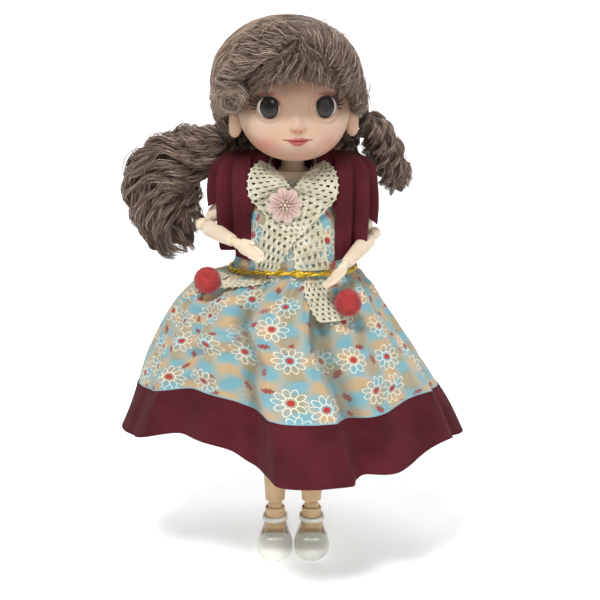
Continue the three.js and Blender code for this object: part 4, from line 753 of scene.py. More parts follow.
def make_head():
    top, low = 3, -35
    rows = concatenate([
        HEAD_UP * sin(linspace(pi / 2, np.arcsin(top / HEAD_UP), 30)),
        linspace(top, low, 132)[1:-1],
        -HEAD_DOWN * sin(linspace(np.arcsin(-low / HEAD_DOWN), pi / 2, 22)),
    ])
    turn = radians(concatenate([linspace(-72, 72, 290), linspace(72, 288, 110)[1:-1]]))
    z = repeat(rows[:, None], len(turn), 1)
    half, depth, shift = head_level(z)
    away = spread(sin(turn), -cos(turn), 0)
    reach = 1 / oval(sin(turn) / half, cos(turn) / depth, HEAD_POWER)
    points = reach[..., None] * away + spread(0, shift, z)
    wrapped = concatenate([points[:, -1:], points, points[:, :1]], 1)
    normal = grid_normals(wrapped)[:, 1:-1]
    normal *= np.sign(np.sum(normal * away, -1, keepdims=True))
    front = (cos(turn) > 0.1)[None]
    out, marks = face_forms(points[..., 0], z)
    inwards = np.zeros_like(points)
    for _, sign in SIDES:
        centre, look, side = eye_axes(sign)
        gap = points - centre
        form = oval(gap @ side / EYE_HALF[0], gap[..., 2] / EYE_HALF[1], 2.2)
        near = front & (form < 3)
        out += near * (0.5 * hump(form, 1.07, 0.07) - 0.7 * hump(form, 1.35, 0.2))
        out *= 1 - near * (form < 1)
        inwards -= (near * smoothstep(form, 1.02, 0.94) * 3.4)[..., None] * look
        upper = smoothstep(gap[..., 2], -0.5, 2.0)
        marks["lid"] += near * 0.8 * hump(form, 1.15, 0.03) * upper
        marks["lid"] += near * hump(form, 0.99, 0.035) * (0.35 + 0.5 * upper)
        marks["blush"] = clip(marks["blush"] + near * 0.3 * hump(form, 1.2, 0.22) * upper, 0, 1)
    points, groups = capped(points + normal * (out * front)[..., None] + inwards)
    parts = [(points, [faces[:, ::-1] for faces in groups])]
    for _, sign in SIDES:
        shape, groups = ball((0, 0, 0), 1, 36)
        hollow = exp(-((shape[:, 1] / 0.55) ** 2) - ((shape[:, 2] - 0.1) / 0.6) ** 2) * (shape[:, 0] * sign > 0)
        shape[:, 0] *= 1 - 0.6 * hollow
        parts.append((shape * EAR_HALF + EAR_PLACE * [sign, 1, 1], groups))
    ears = sum(len(shape) for shape, _ in parts[1:])
    flat = {
        key: np.pad((value * front).ravel(), (0, ears), constant_values=0.25 * (key == "blush"))
        for key, value in marks.items()
    }
    on_head("head_skin", parts, "face", ("face_shell", "skull_cap"), flat)


def make_eyes():
    bow = 13.0
    radius = linspace(7.4, 0.02, 40)
    front = spread(radius, np.sqrt(bow**2 - radius**2) - bow)
    shape, groups = lathe(concatenate([[(0.02, -4.5), (6.2, -4.3), (7.3, -3.2)], front]), 64)
    for side, sign in SIDES:
        centre, look, across = eye_axes(sign)
        spot = np.linalg.norm((shape[:, :2] - [-0.2 * sign, 0.15]) * [1, 0.85], axis=1)
        points = shape @ stack([across * sign, [0, 0, 1], look]) + centre + 0.15 * look
        on_head(f"eyeball_{side}", [(points, groups)], "eye", (f"eye_{side}",), {"spot": spot, "rise": shape[:, 1]})


def make_lashes():
    for side, sign in SIDES:
        centre, look, across = eye_axes(sign)

        def at(form, angle, out):
            """Places round the eye, standing out from the face."""
            turn = radians(angle)
            wide, tall = EYE_HALF[0] * form * cos(turn), EYE_HALF[1] * form * sin(turn)
            lying = centre + wide[:, None] * across + tall[:, None] * array([0, 0, 1])
            lying[:, 1] = face_depth(lying[:, 0], lying[:, 2])
            return lying + array(out)[..., None] * look

        line_radius = 0.36 * sin(linspace(0.12, pi - 0.5, 60)) + 0.1
        parts = [tube(at(0.99, linspace(168, -4, 60), 0.15), line_radius, 8)]
        share = linspace(0, 1, 10)
        for start, end, length in LASHES:
            out = 0.25 + 1.3 * share - 0.4 * share**2
            strand = at(1 + (length - 1) * share, start + (end - start) * share, out)
            strand[:, 2] += 0.5 * share**2
            parts.append(tube(strand, 0.52 * (1 - share) ** 0.7 + 0.06, 6))
        share = linspace(0, 1, 6)
        for angle in linspace(58, 150, 9):
            strand = at(1 + 0.09 * share, angle, 0.2 + 0.9 * share)
            parts.append(tube(strand, 0.2 * (1 - share) ** 0.7 + 0.04, 5))
        on_head(f"lash_row_{side}", parts, "lash", (f"lashes_{side}",))


make_head()
make_eyes()
make_lashes()

# Body: neck, limbs, hands, feet
NECK_BALL = 7
NECK_RIM = (
    (TIP, -9), (4.4, -9), (4.4, -0.1), (7.6, 0), (7.8, 0.3), (7.8, 0.9), (7.4, 1.3), (6.5, 1.9), (6.3, 3), (6.2, 6),
)
# Balls: joint, radius, angle at which a limb's rim meets the ball, body, finish
BALLS = {
    "shoulder_ball": ("shoulder_swing", 5.6, 60, "shoulder", "arm"),
    "elbow_peg": ("elbow_swing", 3.6, 28, "upper_arm", "arm"),
    "wrist_peg": ("wrist_turn", 2.3, 50, "forearm", "arm"),
    "hip_ball": ("hip_swing", 7, 60, "hip", "leg"),
    "knee_peg": ("knee_bend", 5, 38, "thigh", "leg"),
    "ankle_peg": ("ankle_bend", 4.2, 55, "calf", "leg"),
}
# Limbs: the balls at both ends, radii along the limb, finish
LIMBS = {
    "thigh": ("hip_ball", "knee_peg", (8.2, 7.95, 6.6), "leg"),
    "calf": ("knee_peg", "ankle_peg", (6.3, 6.6, 5.5), "leg"),
    "upper_arm": ("shoulder_ball", "elbow_peg", (6.2, 5.08, 4.5), "arm"),
    "forearm": ("elbow_peg", "wrist_peg", (4.5, 4.28, 3.2), "arm"),
}
# Hands: the way each points, and the way to its thumb
HANDS = {"right": ([15.5, -9, -7], [0, 0, 1]), "left": ([-12.5, -17.5, -12], [1, 0.2, 0.6])}
# Fingers: place across the palm, length, bend
FINGERS = ((-3.1, 8.2, 1.5), (-1.05, 9.7, 1.1), (1.05, 10.0, 0.9), (3.0, 9.0, 1.2))
FOOT_HALF, FOOT_TALL, FOOT_BASE = 8.2, 11, 2.4
SHOE_WALL, SHOE_GAP, INSOLE = 1.75, 0.25, 2.2
# Sections along the foot: place, share of its half-width and of its height
FOOT = (
    (11, 0.35, 0.62), (8.8, 0.62, 0.86), (0, 0.74, 1), (-11.5, 0.97, 0.9), (-19.1, 0.95, 0.7), (-24, 0.7, 0.56),
    (-25.5, 0.35, 0.44),
)
SHANK = (
    (TIP, 6), (5.6, 6.4), (6.0, 9), (5.8, 13), (5.6, 17), (5.6, 21.6), (5.4, 22.4), (5.0, 22.6), (4.75, 22.2),
    (4.7, 20.8), (TIP, 18.2),
)


def make_neck():
    angle = linspace(-0.9, pi / 2 - 0.01, 18)
    cap = spread(NECK_BALL * cos(angle), NECK_LENGTH + NECK_BALL * sin(angle))
    points, groups = lathe(concatenate([NECK_RIM, cap]), 56)
    marks = {mark: full(len(points), 0.25 * (mark == "shade")) for mark, _, _ in FACE_PAINT}
    build("neck", [(points + [0, NECK_BACK, COLLAR], groups)], "face", "neck", ("neck_post",), marks)


def limb(length, top, end, radii):
    """A limb along -Z between two joint balls, each (ball radius, rim angle)."""
    gap, bevel, lip, short = 0.3, 0.35, 0.15, 0.6
    (top_rim, top_depth), (end_rim, end_depth) = (
        array([sin(radians(angle)), cos(radians(angle))]) * (radius + gap) for radius, angle in (top, end)
    )
    start = radii[0] / np.tan(radians(top[1]))
    stop = length - radii[2] / np.tan(radians(end[1]))
    end_depth = length - end_depth
    outline = concatenate([
        [(TIP, top_depth), (top_rim - bevel, top_depth), (top_rim, top_depth + lip)],
        spline([(radii[0], start), (radii[1], start + (stop - start) * 0.42), (radii[2], stop)], 24),
        [(end_rim, end_depth - lip), (end_rim - bevel, end_depth), (TIP, end_depth)],
    ])[::-1] * [1, -1]
    fine = [outline[0]]
    for a, b in zip(outline[:-1], outline[1:]):
        shares = (1,) if np.linalg.norm(b - a) < short else (0.06, 0.5, 0.94, 1)
        fine += [a + (b - a) * share for share in shares]
    return lathe(fine)


def make_limbs():
    for side, _ in SIDES:
        for name, (top, end, radii, finish) in LIMBS.items():
            (a, top_rim), (b, end_rim) = (
                (place(f"{joint}_{side}"), (radius, angle)) for joint, radius, angle, _, _ in (BALLS[top], BALLS[end])
            )
            shape = turned_to(limb(np.linalg.norm(b - a), top_rim, end_rim, radii), b - a, a)
            build(f"{name}_form_{side}", [shape], finish, f"{name}_{side}", (f"{name}_{side}",))
        for name, (joint, radius, _, body, finish) in BALLS.items():
            shape = ball(place(f"{joint}_{side}"), radius)
            build(f"{name}_form_{side}", [shape], finish, f"{body}_{side}", (f"{name}_{side}",))


def finger(x, y, z, thick, blunt, least, taper):
    share = linspace(0, 1, len(z))
    return tube(spread(x, y, z), thick * np.sqrt(maximum(1 - (share * blunt) ** 5, least)) - taper * share, 12)


def make_hands():
    """Hands along -Z with the thumb at +X and the palm at -Y: slim fingers, a little bent."""
    shapes = [ball((0, 0.1, -7.2), 1, 28, (4.2, 2.1, 6.0)), ball((0, 0, -2.2), 1, 24, (2.9, 2.3, 3.2))]
    s = linspace(0, 1, 14)
    for x, length, bend in FINGERS:
        line = x * (1 - 0.22 * s), -bend * s**2 * 1.3, -10.4 - length * s
        shapes.append(finger(*line, 1.22, 0.92, 0.05, 0.2))
    s = linspace(0, 1, 12)
    shapes.append(finger(2.6 + 2.9 * s, -0.9 * s, -4.2 - 7.6 * s, 1.5, 0.94, 0.04, 0.25))
    for side, _ in SIDES:
        direction, thumb = HANDS[side]
        parts = [turned_to(shape, direction, place(f"wrist_turn_{side}"), thumb) for shape in shapes]
        hand = build(f"hand_form_{side}", parts, "arm")
        put_on(fused(hand, voxel=0.26, rounds=4), f"hand_{side}", (f"hand_{side}",))


def foot_form(grow, floor):
    """A foot or shoe form: rounded sections along the foot, cut flat below."""
    steps, sides, least = 40, 48, 0.4
    along, wide, tall = spline(FOOT, steps).T[..., None]
    along = along + linspace(grow, -grow, steps)[:, None]
    across, up = round_power(cos(circle(sides)), 2.6), round_power(sin(circle(sides)), 2.6)
    half, top = maximum(FOOT_HALF * wide + grow, least), maximum(FOOT_TALL * tall + grow, least)
    height = (top + floor) / 2 + (top - floor) / 2 * up
    return capped(spread(half * across, along, maximum(height, floor + 0.25 * (1 - np.abs(across)))))


def shoe_throat():
    """What is cut out of a shoe above the foot: a rounded column behind the toe cap."""
    turn = circle(64)
    x, y = 13 * round_power(cos(turn), 3.2), 6 + 18.5 * round_power(sin(turn), 3.2)
    return capped(stack([spread(x, y, 9.6 + 0.05 * (y - 6)), spread(x, y, 40.0)]))


def make_feet():
    for side, sign in SIDES:
        body = f"foot_{side}"
        ground = place(f"ankle_bend_{side}") * [1, 1, 0]
        parts = [moved(shape, ground) for shape in (foot_form(0, FOOT_BASE), lathe(SHANK, 40))]
        foot = build(f"foot_form_{side}", parts, "leg")
        put_on(fused(foot, voxel=0.4, rounds=6), body, (body,))
        shoe = build(f"shoe_form_{side}", [moved(foot_form(SHOE_WALL, 0.0), ground)], "shoe")
        for inside in (foot_form(SHOE_GAP, INSOLE), shoe_throat()):
            carved(shoe, moved(inside, ground), "shoe")
        put_on(fused(shoe, voxel=0.3, rounds=5), body, (f"shoe_{side}",))
        strap, bow = ([moved(shape, ground) for shape in shapes] for shapes in shoe_trim(sign))
        build(f"strap_form_{side}", strap, "shoe", body, (f"shoe_strap_{side}",))
        build(f"toe_bow_{side}", bow, "shoe", body)


def shoe_trim(sign):
    """The ankle strap with its button, and the flat bow moulded on the toe."""
    turn = circle(96)
    height, depth = 1.3, 0.45
    section = [
        (depth, -height), (depth + 0.12, 0), (depth, height), (-depth, height), (-depth - 0.1, 0), (-depth, -height),
    ]
    ring = spread(6.55 * cos(turn), 6.55 * sin(turn), 16.2 + 0.5 * sin(turn))
    loop = stack([ring + spread(cos(turn), sin(turn), 0) * r + [0, 0, z] for r, z in section], 1)
    strap = (loop.reshape(-1, 3), [grid_quads(len(turn), len(section), True, True)])
    button = ball((sign * 6.6, -2.6, 16.3), 1, 20, (0.8, 1.2, 1.2))
    share = linspace(0, 1, 24)
    bow = []
    for lean in (-1, 1):
        x = lean * (0.4 + 4.8 * share)
        line = spread(x, -18.6 + 1.1 * share, 9.9 - 0.045 * x**2 - 0.15 * share)
        bow.append(tube(line, 0.55 + 0.75 * sin(pi * share**0.8) + 0.05, 12))
    bow.append(ball((0, -18.9, 10.1), 1, 20, (1.0, 1.1, 0.8)))
    return [strap, button], bow


make_neck()
make_limbs()
make_hands()
make_feet()

# Dress
# Bodice: height, half-width and half-depth
BODICE = array([
    [161, WAIST_WIDE, WAIST_DEEP], [174, 30.55, 24.25], [188, 26.98, 21.75], [200, 22.9, 18], [208, 20.5, 14.6],
    [212, 15.9, 14],
])
BODICE_LOW, BODICE_HIGH = BODICE[0, 0], BODICE[-1, 0]
# How far the hem stands out past the waist at the sides, in front and behind, and how early the skirt flares
HEM_SIDE, HEM_FRONT, HEM_BACK = 60, 48, 60
FLARE = 0.55
# Places round the skirt in degrees, their spread, how far the hem rises there, and how far it is drawn in
SKIRT_SWAGS = ((-127, 27, 16, 0.27), (180, 28, 3.5, 0), (-28, 14, 7, 0.05), (-90, 30, 2, 0))
# Broad folds of the front: place, spread, height
FRONT_FOLDS = ((-87, 15, 6.5), (-110, 9, -3), (-63, 9, -3))
# Where the front panel's folded edges lie: share of the way down, degrees round
PANEL_LEFT = ((0.0, 0.1, 0.25, 0.42, 0.55, 0.75, 1.0), (-100, -101, -103, -95, -99, -96, -95))
PANEL_RIGHT = ((0.0, 0.1, 0.3, 0.5, 0.72, 1.0), (-71, -71, -75, -73, -71, -69))
PANEL_RISE, PANEL_EDGE = 5.6, 1.7
# Folds that hang across: both ends as degrees round and share of the way down, and height
DRAPES = (
    ((-104, 0.31), (-142, 0.42), 3.2),
    ((-108, 0.56), (-160, 0.63), 2.2),
    ((-108, 0.10), (-168, 0.22), 2.4),
    ((-66, 0.20), (-24, 0.40), 2.2),
    ((-64, 0.47), (-30, 0.60), 2.0),
    ((40, 0.30), (85, 0.45), 2.0),
    ((-190, 0.35), (-235, 0.48), 2.0),
)
SKIRT_DROP = 97
HEM_TOP = 1 - 29 / SKIRT_DROP
# The flounce's gathered top: shares of its reach and of its rise
FLOUNCE_RISE = 17
FLOUNCE_PUFF = ((0.12, 0.9), (0.45, 0.96), (0.8, 0.84), (1, 0.5))
ARM_SLOPE = {"right": -22 / 26, "left": -28.5 / 22.7}
YOKE_INNER = (
    (21, -13, 197), (18, -11, 209), (13.5, -5, 219), (12.2, 3, 222), (13, 11, 219), (13.5, 14, 208), (15, 15, 197),
)
YOKE_OUTER = (
    (25, -14, 192), (24, -13, 207), (23.5, -7, 220), (23.5, 3, 225), (23.5, 11, 220), (23.5, 15, 206), (24, 16, 192),
)
# Path of the band inside the collar: dark cloth as painted shade
COLLAR_SHADE_PATH = (
    (-10.4, -4, 215.5), (-10.6, 4, 216), (-7.6, 9.9, 215.8), (0, 14.6, 215.5), (7.6, 9.9, 215.8), (10.6, 4, 216),
    (10.4, -4, 215.5),
)


def bodice_section(z):
    return interp(z, BODICE[:, 0], BODICE[:, 1]), interp(z, BODICE[:, 0], BODICE[:, 2])


def bodice_front(x, z):
    half, depth = bodice_section(z)
    return -depth * dome(x / half, 2.2)


def sheet_area(grid):
    a, b = grid[1:, :-1] - grid[:-1, :-1], grid[:-1, 1:] - grid[:-1, :-1]
    return np.linalg.norm(cross(a, b), axis=-1).sum()


def cloth_piece(name, grid, thickness, finish, body, nodes, weave, extra=None):
    """A sheet of cloth as a closed solid. weave is each point's place on the cloth, in millimetres."""
    marks = {"weave": np.pad(concatenate([weave.reshape(-1, 2)] * 2), ((0, 0), (0, 1)))}
    for key, value in (extra or {}).items():
        marks[key] = concatenate([np.ravel(value)] * 2)
    return build(name, [sheet_solid(grid, thickness)], finish, body, nodes, marks)


def declare_sheet(grid):
    area = sheet_area(grid) * MM * MM


def make_bodice():
    height = linspace(BODICE_LOW, BODICE_HIGH, 60)[:, None]
    angle = linspace(pi / 2, pi / 2 - TURN, 260)[None]
    half, depth = bodice_section(height)
    wrinkle = 0.35 * sin(9 * angle + 0.35 * height) + 0.25 * sin(17 * angle - 0.22 * height)
    gather = 0.5 * cos(46 * angle + 2 * sin(5 * angle)) * smoothstep(172 - height, 0, 10)
    out = wrinkle * smoothstep(BODICE_HIGH - height, 0, 20) + gather - 0.4
    grid = spread((half + out) * round_power(cos(angle)), (depth + out) * round_power(sin(angle)), height)
    weave = spread((angle - pi / 2 + pi) * 27, height)
    bare = {"selvage": zeros(out.size), "deep": zeros(out.size)}
    shown = cloth_piece("bodice_cloth", grid, 0.7, "print", "torso", ("bodice",), weave, bare)
    hole, reach = 10.8, 60
    for _, sign in SIDES:
        armhole = turned_to(lathe([(hole, -reach), (hole, 0)], 64), (sign, 0, 0), (sign * 15, 2, 206))
        carved(shown, armhole, "print")
    declare_sheet(grid)


def nearness(angle, middle, width):
    return hump((degrees(angle) - middle + 180) % 360 - 180, 0, width)


def skirt_point(angle, share, inset=0.0):
    """Places on the skirt: angle round it, share of the way down, and distance in from its face."""
    flare, crest = share**FLARE, share / 0.22
    folds = 0.75 * cos(12 * angle + 1.2 * sin(3 * angle)) + 0.25 * cos(5 * angle + 1)
    fold = 3.6 * (0.25 + 0.75 * share) * minimum(share * 12, 1) * folds
    fold = fold + sum(nearness(angle, a, w) * h for a, w, h in FRONT_FOLDS) * share
    lean = 8.5 * crest * exp(1 - crest)
    lift = 4 * cos(2 * angle) * share**3 + sum(nearness(angle, a, w) * r for a, w, r, _ in SKIRT_SWAGS) * share
    drawn = 1 - sum(nearness(angle, a, w) * d for a, w, _, d in SKIRT_SWAGS) * share
    reach = fold - inset
    depth = where(sin(angle) < 0, HEM_FRONT, HEM_BACK)
    return spread(
        (WAIST_WIDE + HEM_SIDE * flare + reach) * cos(angle) - lean,
        (WAIST_DEEP + depth * flare + reach) * drawn * sin(angle),
        WAIST - 1.3 - SKIRT_DROP * share + lift - inset * 0.5 * (1 - share),
    )


def skirt_folds(angle, share):
    """Folds that the cloth makes over its broad form, outwards in millimetres."""
    gather = 0.9 * cos(52 * angle + 3 * sin(4 * angle)) * exp(-share / 0.1) * minimum(share * 30, 1)
    ridge = 1 - 2 * np.abs(sin(9.5 * angle + 1.6 * sin(5 * angle + 0.6) + 1.2 * share)) ** 0.8
    pleat = ridge * exp(-share / 0.6) * minimum(share * 14, 1)
    slant = sin(9 * angle + 9 * share + 1.5 * sin(3 * angle)) * share * (1 - 0.3 * share)
    crease = sin(31 * angle - 15 * share + 2 * sin(7 * angle)) * share * (1 - share)
    turn = (degrees(angle) + 270) % 360 - 270
    left, right = interp(share, *PANEL_LEFT), interp(share, *PANEL_RIGHT)
    panel = smoothstep(turn, left - PANEL_EDGE, left + PANEL_EDGE)
    panel = panel * smoothstep(turn, right + PANEL_EDGE, right - PANEL_EDGE)
    hollow = 6.0 * hump(turn, left - 5.5, 4) + 8.0 * hump(turn, right + 7, 5.5)
    fold = gather + 1.7 * pleat + 1.2 * slant + 0.9 * crease
    fold = fold + smoothstep(share, 0.02, 0.2) * (PANEL_RISE * panel - hollow)
    for (a, start), (b, stop), height in DRAPES:
        along = (turn - a) / (b - a)
        off = share - start - (stop - start) * along
        rolled = hump(off, 0, 0.035) - 0.7 * hump(off, 0.075, 0.045)
        fold = fold + height * rolled * smoothstep(along, 0, 0.25) * smoothstep(along, 1, 0.7)
    return fold


def skirt_sheet(name, start, stop, rows, finish, node, thickness, band):
    """A part of the skirt, from one share of the way down to another. Above the band it runs up under the belt."""
    share = linspace(start, stop, rows)[:, None]
    angle = linspace(pi / 2, pi / 2 - TURN, 540)[None]
    fold = skirt_folds(angle, share)
    grid = skirt_point(angle, share, thickness / 2 - fold - (0.4 if band else 0))
    radius = 0.45 * (29 + 57 * share**FLARE) + 0.55 * 62
    weave = spread(((angle - pi / 2 + TURN) - pi) * radius, -122 * share**0.82)
    extra = {}
    if not band:
        rise = array([2.6, 1.7, 0.8])[:, None, None]
        grid = concatenate([grid[:1] * [0.965, 0.965, 1] + rise * [0, 0, 1], grid])
        weave = concatenate([weave[:1] + rise * [0, 1], weave])
        share, fold = (concatenate([values[:1]] * 3 + [values]) for values in (share, fold))
        extra["selvage"] = smoothstep(share + 0 * angle, stop - 0.03, stop - 0.02)
        # The deep mark is painted shade, darker where the folds sink in
        extra["deep"] = smoothstep(-fold, 1, 7)
    return cloth_piece(name, grid, thickness, finish, "torso", (node,), weave, extra), grid


def make_skirt():
    skirt, grid = skirt_sheet(
        "skirt_cloth", 0.003, HEM_TOP + 0.012, rows=84, finish="print", node="skirt", thickness=0.7, band=False
    )
    declare_sheet(grid)
    band, grid = skirt_sheet(
        "hem_cloth", HEM_TOP - 0.004, 1.0, rows=46, finish="burgundy", node="hem_band", thickness=0.9, band=True
    )
    declare_sheet(grid)
    angle = circle(1400)
    stitches = []
    for share in (HEM_TOP + 0.006, 0.985):
        line = skirt_point(angle, full(angle.shape, share), -0.55 - skirt_folds(angle, share) + 0.1)
        stitches.append(line.reshape(-1, 7, 3)[:, :5])
    points, groups = tubes(concatenate(stitches), 0.13)
    build("hem_stitches", [(points, groups)], "burgundy", "torso", (), {"weave": np.zeros_like(points)})


def make_flounces():
    turn = radians(linspace(-88, 88, 150))[None]
    wave = 1.7 * cos(9.6 * turn + 0.6) + 1.1 * cos(15 * turn + 2) * sin(2.5 * turn + 1)
    boxed = round_power(cos(turn), 2.6), round_power(sin(turn), 2.6)
    on_arm = smoothstep(cos(turn), 0.72, 0.88)
    wide, deep, rows = 21, 15.5, 70
    arm_radius = LIMBS["upper_arm"][2][0]
    weave = spread(degrees(turn) * 0.5, linspace(0, 60, rows)[:, None])
    for side, sign in SIDES:

        def spot(reach, z, ripple):
            """Places round the shoulder, clear of the bodice."""
            x = sign * wide + sign * (wide * reach + ripple * wave) * boxed[0]
            y = 2 + (deep * reach + ripple * wave) * boxed[1]
            clear = -bodice_front(x, SHOULDER + z) + 0.9
            face = np.sign(sin(turn))
            hanging = (z < 0) & (np.abs(x) < WAIST_WIDE)
            return spread(x, where(hanging, face * maximum(face * y, clear), y), SHOULDER + z)

        arm_top = ARM_SLOPE[side] * (np.abs(spot(1.1, 0 * turn, 1)[..., 0]) - 22) + arm_radius * 1.25 + 0.5
        hem = (-36 - 2.5 * sin(3 * turn)) * (1 - on_arm) + arm_top * on_arm
        puff = [(reach, FLOUNCE_RISE * rise) for reach, rise in FLOUNCE_PUFF]
        stations = [spot(reach + 0 * turn, z + 0 * turn, k / 3) for k, (reach, z) in enumerate(puff)]
        for share in (0.34, 0.67, 1.0):
            z = puff[-1][1] * (1 - share) + hem * share
            reach = 1 + 0.06 * sin(pi * share) - 0.1 * share * (1 - on_arm)
            stations.append(spot(reach, z, 1 + share * 0.6))
        grid = spline(stack([station[0] for station in stations]), rows)
        piece = cloth_piece(f"flounce_cloth_{side}", grid, 0.7, "burgundy", None, (), weave)
        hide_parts(f"flounce_{side}")
        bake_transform(piece)
        declare_sheet(grid)


def make_yokes():
    """The gathered cloth between the neck and each flounce."""
    across, along = linspace(0, 1, 24)[:, None, None], linspace(0, 1, 110)[None, :, None]
    flat = spline(YOKE_INNER, 110)[None] * (1 - across) + spline(YOKE_OUTER, 110)[None] * across
    fold = 0.9 * sin(30 * along + 5 * across) * sin(pi * across) + 1.6 * sin(pi * across)
    puffed = flat + unit(flat - array([18, 2, 200])) * fold
    weave = spread(across[..., 0] * 11, along[..., 0] * 70)
    for side, sign in SIDES:
        grid = puffed[::sign] * [sign, 1, 1]
        piece = cloth_piece(f"yoke_cloth_{side}", grid, 0.6, "burgundy", "torso", (), weave)
        declare_sheet(grid)


def make_collar_shade():
    """A band of dress cloth inside the lace collar, put there as dark painted shade for the collar's shaded inside.
    """
    grid = spline(COLLAR_SHADE_PATH, 90)[None] + linspace(-5.4, 4.8, 12)[:, None, None] * array([0, 0, 1])
    weave = spread(linspace(0, 48, 90), linspace(0, 9, 12)[:, None])
    piece = cloth_piece("collar_shade_cloth", grid, 0.5, "burgundy", "torso", (), weave)
    declare_sheet(grid)


def make_belt():
    turn = circle(360)
    twists = 31
    strands, knot = [], []
    for k in range(5):
        sway = rng.normal(0, 0.5, 6)
        rise = 1.3 - 0.9 * sin(turn) - 1.1 * cos(turn) ** 2 + 0.55 * sin(twists * turn + 1.3 * k)
        rise += 0.5 * sin(2 * turn + k) + sway[0] * sin(3 * turn + k)
        out = 1.9 + 0.5 * cos(twists * turn + 1.3 * k) + 0.25 * sin(5 * turn + sway[1])
        x, y = (WAIST_WIDE + out) * round_power(cos(turn)), (WAIST_DEEP + out) * round_power(sin(turn))
        strands.append(spread(x, y, WAIST + rise))
    share = linspace(0, TURN, 60)
    for k in range(4):
        spin = k * 0.8
        x, y = 4.2 + 2.2 * cos(share + spin), -27.6 - 0.9 * sin(2 * share + spin)
        knot.append(spread(x, y, WAIST + 2.0 + (1.3 + 0.2 * k) * sin(share)))
    parts = [tubes(array(strands), 0.36, 6, True), tubes(array(knot), 0.4, 6)]
    build("belt_strands", parts, "gold", "torso", ("belt_cord",))


make_bodice()
make_skirt()
make_flounces()
make_yokes()
make_collar_shade()
make_belt()

# Lace, flower and pompoms


def sampled(grid, u, v):
    """Places on a grid of points at shares u down its rows and v along its columns."""
    rows, columns, _ = grid.shape
    a, b = clip(u, 0, 1) * (rows - 1), clip(v, 0, 1) * (columns - 1)
    i, j = minimum(a.astype(int), rows - 2), minimum(b.astype(int), columns - 2)
    s, t = (a - i)[..., None], (b - j)[..., None]
    near = grid[i, j] * (1 - s) + grid[i + 1, j] * s
    return near * (1 - t) + (grid[i, j + 1] * (1 - s) + grid[i + 1, j + 1] * s) * t


def sheet_length(grid):
    return np.linalg.norm(np.diff(grid[:, grid.shape[1] // 2], axis=0), axis=1).sum()


def crochet(grid, cell=2.9, radius=0.3):
    """Crochet over a grid of points: a net of rows, and the stitches on it: shells of posts and picot edges."""
    length = sheet_length(grid)
    widths = np.linalg.norm(np.diff(grid, axis=1), axis=2).sum(1)
    width = widths.mean()
    down, across = max(int(length / cell), 3), max(int(width / cell), 2)
    normal = grid_normals(grid)
    net, stitches = [], []

    def thread(shapes, u, v, out, thick):
        loose = rng.normal(0, 0.035, (2, *u.shape))
        u, v = u + loose[0] / down, v + loose[1] / across
        path = sampled(grid, u, v) + sampled(normal, u, v) * (out + rng.normal(0, 0.05, u.shape))[..., None]
        swell = interp(u, linspace(0, 1, len(widths)), widths / width).clip(0.85, 1.25)
        shapes.append(tubes(path, radius * thick * swell, 5))

    i = arange(down + 1)[:, None]
    t = linspace(0, 1, across * 8 + 1)[None]
    phase = TURN * across * t + pi * i
    for k, offset in enumerate((-0.17, 0.0, 0.17)):
        u = (i + offset + 0.07 * sin(phase + 0.7 * k)) / down
        thread(net, u, t + 0 * i, 0.22 * cos(3 * phase + 2 * k), 1)
    row, column = (index.reshape(-1, 1) for index in np.indices((down, across + 1)))
    s = linspace(0, 1, 6)[None]
    for lean in (-0.34, -0.11, 0.11, 0.34):
        u = (row + 0.05 + 0.95 * s) / down
        v = (column - 0.25 + 0.5 * (row % 2) + lean * (0.2 + 0.8 * s)) / across
        thread(stitches, u, v.clip(0, 1), 0.3 * sin(pi * s) + 0 * row, 0.95)
    for edge in (0.0, 1.0):
        loops = max(int(length / 3.4), 3)
        s = linspace(0, 1, loops * 12 + 1)
        turn = TURN * loops * s
        path = sampled(grid, s + 0.3 / loops * sin(turn), full(s.shape, edge))
        outward = unit(path - sampled(grid, s, full(s.shape, 0.5)))
        stitches.append(tube(path + outward * (0.45 * (1 - cos(turn)))[:, None], radius * 1.1, 5))
        s = linspace(0, 1, down * 5)[None]
        thread(stitches, s, full(s.shape, edge), 0.2 * sin(s * down * 4), 1.4)
    return net, stitches


def make_lace(name, grid, node, extra=()):
    net, stitches = crochet(grid)
    piece = build(name, net, "lace", "torso", (node,))
    edge = build(f"{name}_stitches", [*stitches, *extra], "lace", "torso")
    length = sheet_length(grid)
    flat = (sheet_area(grid) / length * MM, length * MM)


def strip_grid(stations, lift):
    """A strip along stations, each its middle and half-width, lying on the bodice in front."""
    centre, half = (spline(row, 120)[:, None] for row in zip(*stations))
    grid = centre + half * linspace(-1, 1, 25)[None, :, None]
    x, y, z = (grid[..., k] for k in range(3))
    ahead = minimum(y, bodice_front(x, clip(z, BODICE_LOW, BODICE_HIGH)) - lift)
    grid[..., 1] = where(y < -8, ahead, y)
    return grid


def make_shawls():
    top, belt, half, chest, nape = COLLAR, 165.6, 10.1, -9.0, 11.3
    for side, sign, lift, middle, end in (("right", -1, 0.95, 10.5, 8.5), ("left", 1, 2.35, -14.5, 5.5)):
        grid = strip_grid((
            ((sign, nape + 5, top + 1.5), (0, 1, half * 0.55)),
            ((sign * 9, nape, top + 2.5), (sign, 1, half * 0.5)),
            ((sign * 12, 0, top + 4), (sign * 2, 0, half * 0.3)),
            ((sign * 14.5, -14.8, top + 1.5), (sign * half * 0.75, 0, 0.5)),
            ((sign * 12, -16 - lift, top - 9), (sign * half, 2, -half * 0.35)),
            ((sign * 2, chest, top - 20), (sign * half * 0.6, 0, -half * 0.6)),
            ((-sign * 7, chest, (top + belt) / 2 - 4), (sign * half * 0.7, 0, -half * 0.5)),
            ((middle, chest, belt), (sign * end, 0, 0)),
        ), lift)
        make_lace(f"lace_strip_{side}", grid, f"shawl_{side}")


def on_skirt(turn, share, lift):
    """Places lying on the skirt's folds."""
    return skirt_point(turn, share, -lift - maximum(skirt_folds(turn, share), 0))


